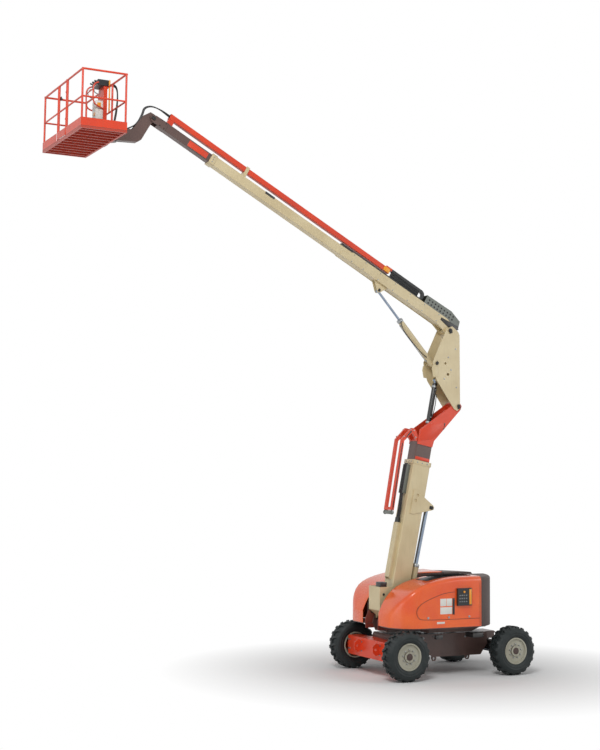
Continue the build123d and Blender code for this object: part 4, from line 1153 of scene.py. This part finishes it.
@dataclass
class FootBlock:
    """Small parts round the tower's foot and under the turntable's skirt."""

    face: float = 0.227
    pin_face: float = 0.239
    lift_lug_face: float = 0.107
    bolt_radius: float = 0.018
    skirt_top: float = 0.9845
    skirt_bottom: float = 0.880
    skirt_round: float = 0.008

    def build(self) -> None:
        """Builds them."""
        pivot = Vector(joint("tower_lift")["pos_m"])
        body = bmesh.new()
        add_pin_pair(body, pivot, self.pin_face, 0.04, Vector((-0.6, 0, -0.8)))
        lift_base = Vector(joint("lift_barrel_turn")["pos_m"])
        add_pin_pair(body, lift_base, self.lift_lug_face, 0.03, Vector((0, 0, 1)))
        finish_piece(body, "foot_pin_heads", "turntable", "dark_iron")
        body = bmesh.new()
        spots = ((-1.26, 0, 1.22), (-1.26, 0, 1.60), (-0.95, 0, 1.22))
        add_bolt_pairs(body, spots, self.face, self.bolt_radius)
        add_block(body, (-1.330, -0.215, 1.743), (-1.175, -0.03, 1.84), 0.012)
        finish_piece(body, "foot_bolts", "turntable", "black")
        body = bmesh.new()
        outline = [(-1.40, 0.90), (-1.415, 1.08), (-1.33, 1.26), (-1.12, 1.30), (-1.08, 0.90)]
        for y0, y1 in both_spans(0.236, 0.252):
            add_plate(body, outline, y0, y1, 0.004)
        finish_piece(body, "foot_brackets", "turntable", "oxide")
        body = bmesh.new()
        add_block(body, (-0.555, -1.06, 0.772), (-0.395, -0.98, 0.852), 0.008)
        add_block(body, (0.365, -0.98, 0.76), (0.62, -0.70, 0.852), 0.012)
        add_rod(body, (-0.42, -1.02, 0.80), (-0.62, -1.02, 0.835), 0.012, sides=14, chamfer=0.003)
        finish_piece(body, "skirt_boxes", "turntable", "black")
        self.skirts()

    def skirts(self) -> None:
        """Adds the tapered skirts under the hoods."""
        body = bmesh.new()
        for side in (-1, 1):
            y0, y1 = sorted((side * 0.60, side * 1.09))
            part = block_part((-0.72, y0, self.skirt_bottom), (0.46, y1, self.skirt_top))
            for v in part.verts:
                if v.co.z < (self.skirt_bottom + self.skirt_top) / 2:
                    v.co.x = -0.62 if v.co.x < 0 else 0.42
                    v.co.y = side * min(abs(v.co.y), 0.86)
            round_edges(part, part.edges[:], self.skirt_round)
            stamp(body, part)
        # The skirts' grey-brown is painted shade under the hoods
        finish_piece(body, "skirts", "turntable", "brown")


@dataclass
class Tower:
    """Small parts of the telescoping tower and its hose guards."""

    half: float = 0.17
    mouth: float = 2.715
    collar: float = 0.010
    screw_radius: float = 0.011
    gusset_face: float = 0.188
    guard_face: float = 0.145
    roller: tuple[float, float] = (1.560, -0.268)
    level_eye: tuple[float, float] = (4.4589, 0.3089)
    sleeve_length: float = 0.93
    lift_length: float = 1.13
    bar_outlines: tuple[Outline, ...] = (
        ((1.62, -0.258), (1.62, -0.240), (3.02, -0.274), (3.02, -0.292)),
        ((1.62, -0.300), (1.62, -0.283), (3.02, -0.317), (3.02, -0.333)),
    )
    # Black sheets in the gaps between the guard bars: painted shade
    gap_shade_outlines: tuple[Outline, ...] = (
        ((1.66, -0.281), (1.66, -0.260), (2.98, -0.294), (2.98, -0.315)),
        ((3.10, -0.255), (3.12, -0.225), (3.26, -0.125), (3.27, -0.160)),
        ((1.63, -0.270), (1.63, -0.262), (1.86, -0.268), (1.86, -0.276)),
    )
    crank_outline: Outline = ((3.10, 0.06), (3.20, 0.36), (3.30, 0.47), (3.50, 0.60), (3.60, 0.58),
                              (3.50, 0.25), (3.33, 0.07))

    def base(self, line: Line) -> None:
        """Dresses the outer tube: its mouth collar, pad screws, pins, grey channel and hoses."""
        body = bmesh.new()
        add_collar(body, line, self.mouth - 0.09, self.mouth - 0.002, 0.015, 0.425, self.half, self.collar)
        finish_piece(body, "tower_collar", "tower", "tan")
        body = bmesh.new()
        middle = self.mouth - 0.045
        screws = [line.at(middle, n) for n in (0.10, 0.22, 0.34)]
        add_bolt_pairs(body, screws, self.half + self.collar, self.screw_radius)
        for y in (-0.10, 0.0, 0.10):
            add_bolt(body, line.at(middle, 0.435, y), line.across, self.screw_radius)
            add_bolt(body, line.at(middle, 0.005, y), -line.across, self.screw_radius)
        finish_piece(body, "tower_pad_screws", "tower", "steel")
        body = bmesh.new()
        add_pin_pair(body, line.at(1.824, 0.612), self.gusset_face, 0.03, -line.across)
        finish_piece(body, "gusset_pin_heads", "tower", "dark_iron")
        body = bmesh.new()
        places = [line.matrix()]
        for y0, y1 in both_spans(0.068, 0.075):
            add_block(body, (2.00, y0, -0.070), (2.60, y1, 0.016), 0.002, places)
        add_block(body, (2.00, -0.070, -0.010), (2.60, 0.070, 0.016), 0.002, places)
        finish_piece(body, "tower_channel", "tower", "grey")
        route = ((1.45, -0.030), (1.62, -0.020), (1.85, -0.035), (2.05, -0.045), (2.35, -0.050),
                 (2.62, -0.050))
        for k, y in enumerate((-0.045, -0.015, 0.015, 0.045)):
            hose("tower_hose_%d" % k, [line.at(s, n, y) for s, n in route], 0.011, "tower")

    def guards(self, line: Line) -> None:
        """Dresses the guards: double bars, a black sheet of painted shade in their gap, the crank's plates,
        roller and the black end cap.
        """
        places = [line.matrix()]
        bars = bmesh.new()
        gap = bmesh.new()
        for y0, y1 in both_spans(0.143, 0.150):
            for outline in self.bar_outlines:
                add_plate(bars, outline, y0, y1, 0.002, places)
        # Thin black sheets in the bars' gaps: painted shade
        for y0, y1 in both_spans(0.1435, 0.1465):
            for outline in self.gap_shade_outlines:
                add_plate(gap, outline, y0, y1, 0.0, places)
        for y0, y1 in both_spans(0.1650, 0.1690):
            add_plate(bars, self.crank_outline, y0, y1, 0.001, places)
        finish_piece(bars, "guard_bars", "tower_fly", "boom_orange")
        finish_piece(gap, "guard_gap", "tower_fly", "black")
        body = bmesh.new()
        add_rod(body, line.at(*self.roller, -0.120), line.at(*self.roller, 0.120), 0.040, 36, 0.006)
        for y in both_sides(0.128):
            add_rod(body, line.at(*self.roller, y - 0.006), line.at(*self.roller, y + 0.006), 0.046, 36)
        finish_piece(body, "guard_roller", "tower_fly", "grey")
        body = bmesh.new()
        for y in both_sides(self.guard_face):
            for s, n in ((1.60, -0.268), (3.12, -0.30), (3.29, -0.17), (3.29, -0.09), (3.16, -0.02)):
                add_bolt(body, line.at(s, n, y), Vector((0, y, 0)), 0.010)
            y0, y1 = sorted((y, y * 0.86))
            add_block(body, (1.545, y0, -0.275), (1.63, y1, -0.258), 0.001, places)
        finish_piece(body, "guard_bolts", "tower_fly", "steel")
        body = bmesh.new()
        add_block(body, (3.46, -0.1665, 0.545), (3.60, 0.1665, 0.615), 0.006, places)
        finish_piece(body, "crank_cap", "tower_fly", "black_plastic")

    def fly(self, line: Line) -> None:
        """Dresses the inner tube's orange band and the level cylinder's sleeve, rings and hoses."""
        body = bmesh.new()
        places = [line.matrix()]
        for y0, y1 in both_spans(0.1495, 0.1525):
            add_block(body, (2.725, y0, 0.045), (2.79, y1, 0.395), 0.001, places)
        finish_piece(body, "fly_band", "tower_fly", "boom_orange")
        eye = line.at(*self.level_eye)
        body = bmesh.new()
        way = line.along
        part = spun_part([(0.0465, 0.0), (0.052, 0.0), (0.052, 0.84), (0.048, 0.855), (0.030, 0.855),
                          (0.030, 0.83), (0.0465, 0.83)], steps=40)
        turn = way.to_track_quat("Z", "Y").to_matrix().to_4x4()
        stamp(body, part, [Matrix.Translation(eye - way * self.sleeve_length) @ turn])
        finish_piece(body, "level_sleeve", "level_rod", "black")
        body = bmesh.new()
        part = spun_part([(0.0525, 0.0), (0.058, 0.004), (0.058, 0.040), (0.0525, 0.044)], steps=36)
        ends = (self.sleeve_length, 0.17)
        stamp(body, part, [Matrix.Translation(eye - way * along) @ turn for along in ends])
        for along in (0.22, 0.80):
            spot = eye - way * along
            add_rod(body, spot + Vector((0, -0.045, 0)), spot + Vector((0, -0.080, 0)), 0.014, 16, 0.002)
        finish_piece(body, "level_rings", "level_rod", "steel")
        for k, (across, start, end) in enumerate(((-0.012, 0.22, 0.74), (0.016, 0.80, 0.30))):
            route = ((start, 0.0, -0.075), (start, across, -0.088), (0.5, across * 3, -0.086),
                     (end, across * 2, -0.070))
            points = [line.at(self.level_eye[0] - s, 0.309 + n, y) for s, n, y in route]
            hose("level_hose_%d" % k, points, 0.009, "level_rod")

    def lift(self) -> None:
        """Dresses the lower lift cylinder: gland, ports and pipe."""
        base = Vector(joint("lift_barrel_turn")["pos_m"])
        way = Vector(joint("lift_rod_slide")["axis"]).normalized()
        side = Vector((way.z, 0.0, -way.x))
        end = base + way * self.lift_length
        body = bmesh.new()
        add_rod(body, end - way * 0.06, end + way * 0.002, 0.0755, sides=40, chamfer=0.003)
        add_rod(body, end - way * 0.002, end + way * 0.016, 0.058, sides=36, chamfer=0.003)
        finish_piece(body, "lift_gland", "lift_barrel", "steel")
        body = bmesh.new()
        for along in (0.16, 1.02):
            port = base + way * along - side * 0.07
            add_rod(body, port, port - side * 0.028, 0.020, sides=20, chamfer=0.002)
        finish_piece(body, "lift_ports", "lift_barrel", "steel")
        route = ((1.02, 0.096), (0.95, 0.100), (0.6, 0.098), (0.26, 0.098), (0.16, 0.096))
        hose("lift_pipe", [base + way * s - side * n for s, n in route], 0.008, "lift_barrel", "steel")

    def build(self) -> None:
        """Builds the tower's small parts."""
        line = beam("tower_lift", "tower_extend", -1.0)
        self.base(line)
        self.guards(line)
        self.fly(line)
        self.lift()


@dataclass
class Upright:
    """Small parts of the upright and the upper lift cylinder."""

    face: float = 0.1983
    plate: float = 0.1883
    barrel_length: float = 1.18

    def pins(self) -> None:
        """Caps the three pins and bolts the plates."""
        body = bmesh.new()
        pins = ((Vector(joint("upright_level")["pos_m"]), 0.032, Vector((0.3, 0, -1))),
                (Vector(joint("boom_lift")["pos_m"]), 0.035, Vector((0.4, 0, -1))),
                (Vector(joint("upper_barrel_turn")["pos_m"]), 0.026, Vector((0.7, 0, 0.6))))
        for centre, radius, down in pins:
            add_pin_pair(body, centre, self.face, radius, down)
        finish_piece(body, "upright_pin_heads", "upright", "dark_iron")
        body = bmesh.new()
        spots = ((0.365, 6.16), (0.20, 5.97), (0.30, 6.42), (0.48, 6.60), (0.50, 5.80))
        add_bolt_pairs(body, [(x, 0, z) for x, z in spots], self.plate, 0.013)
        finish_piece(body, "upright_bolts", "upright", "steel")
        body = bmesh.new()
        outline = [(-0.10, 6.16), (-0.085, 6.24), (0.03, 6.25), (0.07, 6.16), (0.05, 5.99), (-0.07, 6.0)]
        for y0, y1 in both_spans(0.176, 0.192):
            add_plate(body, outline, y0, y1, 0.003)
        finish_piece(body, "hose_bracket", "upright", "tan")

    def cylinder(self) -> None:
        """Dresses the upper lift cylinder: gland, ports, silver pipe and the looping hose."""
        base = Vector(joint("upper_barrel_turn")["pos_m"])
        way = Vector(joint("upper_rod_slide")["axis"]).normalized()
        over = Vector((way.z, 0.0, -way.x))
        end = base + way * self.barrel_length
        body = bmesh.new()
        add_rod(body, end - way * 0.055, end + way * 0.002, 0.066, sides=36, chamfer=0.004)
        add_rod(body, end - way * 0.002, end + way * 0.014, 0.042, sides=32, chamfer=0.003)
        for along in (0.14, 1.08):
            port = base + way * along - over * 0.054 + Vector((0, -0.01, 0))
            add_rod(body, port, port - over * 0.026, 0.017, sides=18, chamfer=0.002)
        finish_piece(body, "upper_gland", "upper_barrel", "steel")
        route = ((1.08, 0.078), (0.98, 0.084), (0.6, 0.080), (0.24, 0.084), (0.14, 0.078))
        points = [base + way * s - over * n + Vector((0, -0.01, 0)) for s, n in route]
        hose("upper_pipe", points, 0.007, "upper_barrel", "steel")
        route = ((1.14, 0.060, 0.0), (1.15, 0.072, 0.05), (0.95, 0.072, 0.11), (0.6, 0.072, 0.10),
                 (0.32, 0.070, 0.075), (0.2, 0.058, 0.03))
        points = [base + way * s + Vector((0, -y, 0)) - over * n for s, y, n in route]
        hose("upper_hose", points, 0.009, "upper_barrel")

    def build(self) -> None:
        """Builds the upright's small parts."""
        self.pins()
        self.cylinder()


@dataclass
class MainBoom:
    """Small parts of the main boom, its cover, the push tube and the hoses to the platform."""

    face: float = 0.107
    fly_face: float = 0.096
    tip_face: float = 0.1015
    eye_face: float = 0.058
    cover_face: float = 0.0945
    link_pitch: float = 0.029
    link_count: int = 26

    def base(self, line: Line) -> None:
        """Dresses the base section: bolts, mouth collar, black parts, the rear cover's holes as dark discs of
        painted shade, and the eye.
        """
        places = [line.matrix()]
        body = bmesh.new()
        spots = [line.at(s, n) for s in (0.35, 0.75, 1.15, 1.55, 1.95, 2.35, 2.65) for n in (0.035, 0.185)]
        add_bolt_pairs(body, spots, self.face, 0.010)
        for y in both_sides(0.095):
            for n in (0.06, 0.11, 0.16):
                add_bolt(body, line.at(6.20, n, y * 1.105), Vector((0, y, 0)), 0.009)
        finish_piece(body, "boom_bolts", "boom", "steel")
        body = bmesh.new()
        add_collar(body, line, 6.14, 6.256, 0.015, 0.205, 0.095, 0.009)
        finish_piece(body, "boom_collar", "boom", "tan")
        body = bmesh.new()
        add_block(body, (4.72, -0.0985, 0.160), (4.95, -0.070, 0.2085), 0.002, places)
        outline = [(-0.215, 0.150), (-0.10, 0.045), (0.27, 0.110), (0.27, 0.165), (-0.17, 0.205)]
        for y0, y1 in both_spans(0.106, 0.114):
            add_plate(body, outline, y0, y1, 0.002, places)
        finish_piece(body, "boom_black_parts", "boom", "black")
        body = bmesh.new()
        # Dark discs in the cover's perforations: painted shade inside the holes
        for y in both_sides(self.cover_face):
            for k in range(9):
                for n in (0.265, 0.335):
                    s = 0.02 + 0.083 * k
                    add_rod(body, line.at(s, n, y * 0.995), line.at(s, n, y * 1.012), 0.020, sides=20)
        finish_piece(body, "cover_holes", "boom", "dark_iron")
        body = bmesh.new()
        add_pin_pair(body, line.at(1.80, -0.125), self.eye_face, 0.02, line.across)
        finish_piece(body, "boom_eye_heads", "boom", "dark_iron")

    def carried(self, line: Line) -> None:
        """Dresses the fly: its orange patch, the chain's bracket and links, and the tip's pins and bolts."""
        places = [line.matrix()]
        body = bmesh.new()
        # The fly's grey-brown is painted shade; this patch shows its own orange paint
        for y0, y1 in both_spans(0.082, 0.0845):
            add_block(body, (6.33, y0, 0.045), (6.78, y1, 0.165), 0.0005, places)
        finish_piece(body, "fly_patch", "boom_fly", "boom_orange")
        body = bmesh.new()
        for y0, y1 in both_spans(0.050, 0.064):
            add_block(body, (1.775, y0, 0.305), (1.93, y1, 0.402), 0.004, places)
        finish_piece(body, "chain_bracket", "boom_fly", "yellow")
        body = bmesh.new()
        shifts = [Matrix.Translation((0.955 + self.link_pitch * k, 0.0, 0.0)) for k in range(self.link_count)]
        steps = [places[0] @ shift for shift in shifts]
        add_block(body, (0.0, -0.035, 0.276), (0.017, 0.035, 0.390), 0.002, steps)
        finish_piece(body, "chain_links", "boom_fly", "chain_plastic")
        body = bmesh.new()
        tip = Vector(joint("platform_level")["pos_m"])
        add_pin_pair(body, tip, self.tip_face, 0.028, line.along)
        spots = [line.at(s, n) for s, n in ((7.34, 0.05), (7.34, 0.16), (7.44, 0.05), (7.44, 0.17))]
        add_bolt_pairs(body, spots, self.fly_face, 0.009)
        finish_piece(body, "tip_fastenings", "boom_fly", "dark_iron")

    def hoses(self, line: Line) -> None:
        """Leads the hoses from the push tube over the tip to the platform's head."""
        for k, y in enumerate((-0.030, 0.0, 0.030)):
            lift = 0.012 * k
            points = [line.at(7.25, 0.355, y), line.at(7.40, 0.360, y), (-6.14, y, 10.875 + lift),
                      (-6.32, y, 10.925 + lift), (-6.47, y, 10.87 + lift), (-6.50, y, 10.74 + lift),
                      (-6.60, y, 10.56), (-6.76, y, 10.45), (-6.93, y, 10.395), (-6.995, y, 10.38)]
            made = hose("tip_hose_%d" % k, points, 0.012, "boom_fly")
            world = made.matrix_world.copy()
            made.parent = None
            made.matrix_world = world
            del made["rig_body"]
            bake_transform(made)

    def build(self) -> None:
        """Builds the boom's small parts."""
        line = beam("boom_lift", "boom_extend", 1.0)
        self.base(line)
        self.carried(line)
        self.hoses(line)


@dataclass
class Platform:
    """Small parts of the platform: controls, guards, tubes, hoses and the gate's latch."""

    rail: float = -7.244

    def controls(self) -> None:
        """Dresses the control console."""
        low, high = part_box("console")
        body = bmesh.new()
        for y in (-0.10, 0.10):
            x = low.x + 0.06
            add_rod(body, (x, y, high.z - 0.003), (x, y, high.z - 0.0005), 0.03, sides=24)
        for k in range(5):
            for x in (low.x + 0.09, low.x + 0.15):
                y = -0.12 + 0.06 * k
                add_rod(body, (x, y, high.z - 0.004), (x, y, high.z - 0.0004), 0.011, sides=18)
        finish_piece(body, "console_switches", "platform", "steel")
        body = bmesh.new()
        for y in (-0.12, 0.0, 0.12):
            start = (low.x + 0.004, y, low.z + 0.05)
            add_rod(body, start, (low.x - 0.035, y, low.z + 0.075), 0.008, 16)
            start = (low.x - 0.030, y, low.z + 0.070)
            add_rod(body, start, (low.x - 0.058, y, low.z + 0.088), 0.017, 20, 0.006)
        finish_piece(body, "console_levers", "platform", "black_plastic")
        body = bmesh.new()
        add_block(body, (-7.480, -0.135, 10.52), (-7.331, 0.06, 10.87), 0.012)
        finish_piece(body, "column_box", "platform", "vinyl")
        body = bmesh.new()
        add_block(body, (-7.484, -0.110, 10.58), (-7.478, -0.02, 10.64), 0.002)
        add_block(body, (-7.45, -0.139, 10.74), (-7.38, -0.133, 10.83), 0.002)
        add_rod(body, (self.rail, -0.215, 10.62), (self.rail, -0.215, 11.255), 0.015, sides=20, chamfer=0.003)
        finish_piece(body, "amber_parts", "platform", "yellow")

    def tubes(self) -> None:
        """Bends the guard loop round the controls and the silver tubes inside it."""
        loop = ((-7.34, 0.145, 10.72), (-7.46, 0.19, 10.74), (-7.55, 0.20, 10.80), (-7.56, 0.20, 10.98),
                (-7.55, 0.20, 11.17), (-7.45, 0.185, 11.20))
        tube = ((-7.46, 0.172, 10.98), (-7.52, 0.172, 10.99), (-7.54, 0.172, 11.06), (-7.52, 0.172, 11.13),
                (-7.45, 0.15, 11.16))
        cross = ((-7.556, -0.20, 11.05), (-7.566, 0.0, 11.05), (-7.556, 0.20, 11.05))
        for side in Side:
            name = side.name.lower()
            points = [(x, side.value * y, z) for x, y, z in loop]
            hose("guard_loop_" + name, points, 0.014, "platform", "boom_orange")
            points = [(x, side.value * y, z) for x, y, z in tube]
            hose("silver_tube_" + name, points, 0.010, "platform", "steel")
        hose("guard_cross", cross, 0.012, "platform", "boom_orange")

    def cables(self) -> None:
        """Leads the hoses from the console down to the turning head."""
        for k, y in enumerate((-0.055, -0.02, 0.02)):
            shift = 0.01 * k
            points = ((-7.235, y, 11.20), (-7.14, y, 11.245 - shift), (-7.04 + shift, y, 11.20),
                      (-7.02 + shift, y, 11.00), (-7.03, y, 10.74), (-7.06, y, 10.56), (-7.08, y, 10.462))
            hose("platform_hose_%d" % k, points, 0.010, "platform")

    def fastenings(self) -> None:
        """Bolts the turning bracket and the gate's latch."""
        body = bmesh.new()
        for k in range(8):
            angle = math.tau * k / 8
            spot = Vector((-7.105 + 0.065 * math.cos(angle), 0.065 * math.sin(angle), 10.4645))
            if spot.x < -7.06 or abs(spot.y) > 0.05:
                add_bolt(body, spot, Vector((0, 0, 1)), 0.009)
        for y in (-0.08, 0.08):
            for z in (10.10, 10.30, 10.42):
                add_bolt(body, Vector((-7.2085, y, z)), Vector((1, 0, 0)), 0.009)
        finish_piece(body, "bracket_bolts", "platform", "steel")
        body = bmesh.new()
        add_block(body, (-8.052, 0.165, 10.86), (-8.035, 0.232, 10.93), 0.004)
        add_rod(body, (-8.040, 0.20, 10.895), (-8.005, 0.20, 10.895), 0.009, sides=16, chamfer=0.003)
        finish_piece(body, "gate_latch", "gate", "black_plastic")

    def build(self) -> None:
        """Builds the platform's small parts."""
        self.controls()
        self.tubes()
        self.cables()
        self.fastenings()


def main() -> None:
    """Builds the studio and every sub-assembly in order."""
    logging.basicConfig(level=logging.INFO, format="%(name)s: %(message)s")
    bpy.context.scene.view_settings.view_transform = "Standard"
    Photograph().build()
    for node, key in NODE_FINISH.items():
        wear(node, key)
    for corner in CORNERS:
        Wheel(corner).build()
    for side in Side:
        Hood(side).build()
    for part in (Chassis(), FootBlock(), Tower(), Upright(), MainBoom(), Platform()):
        part.build()


if __name__ == "__main__":
    main()
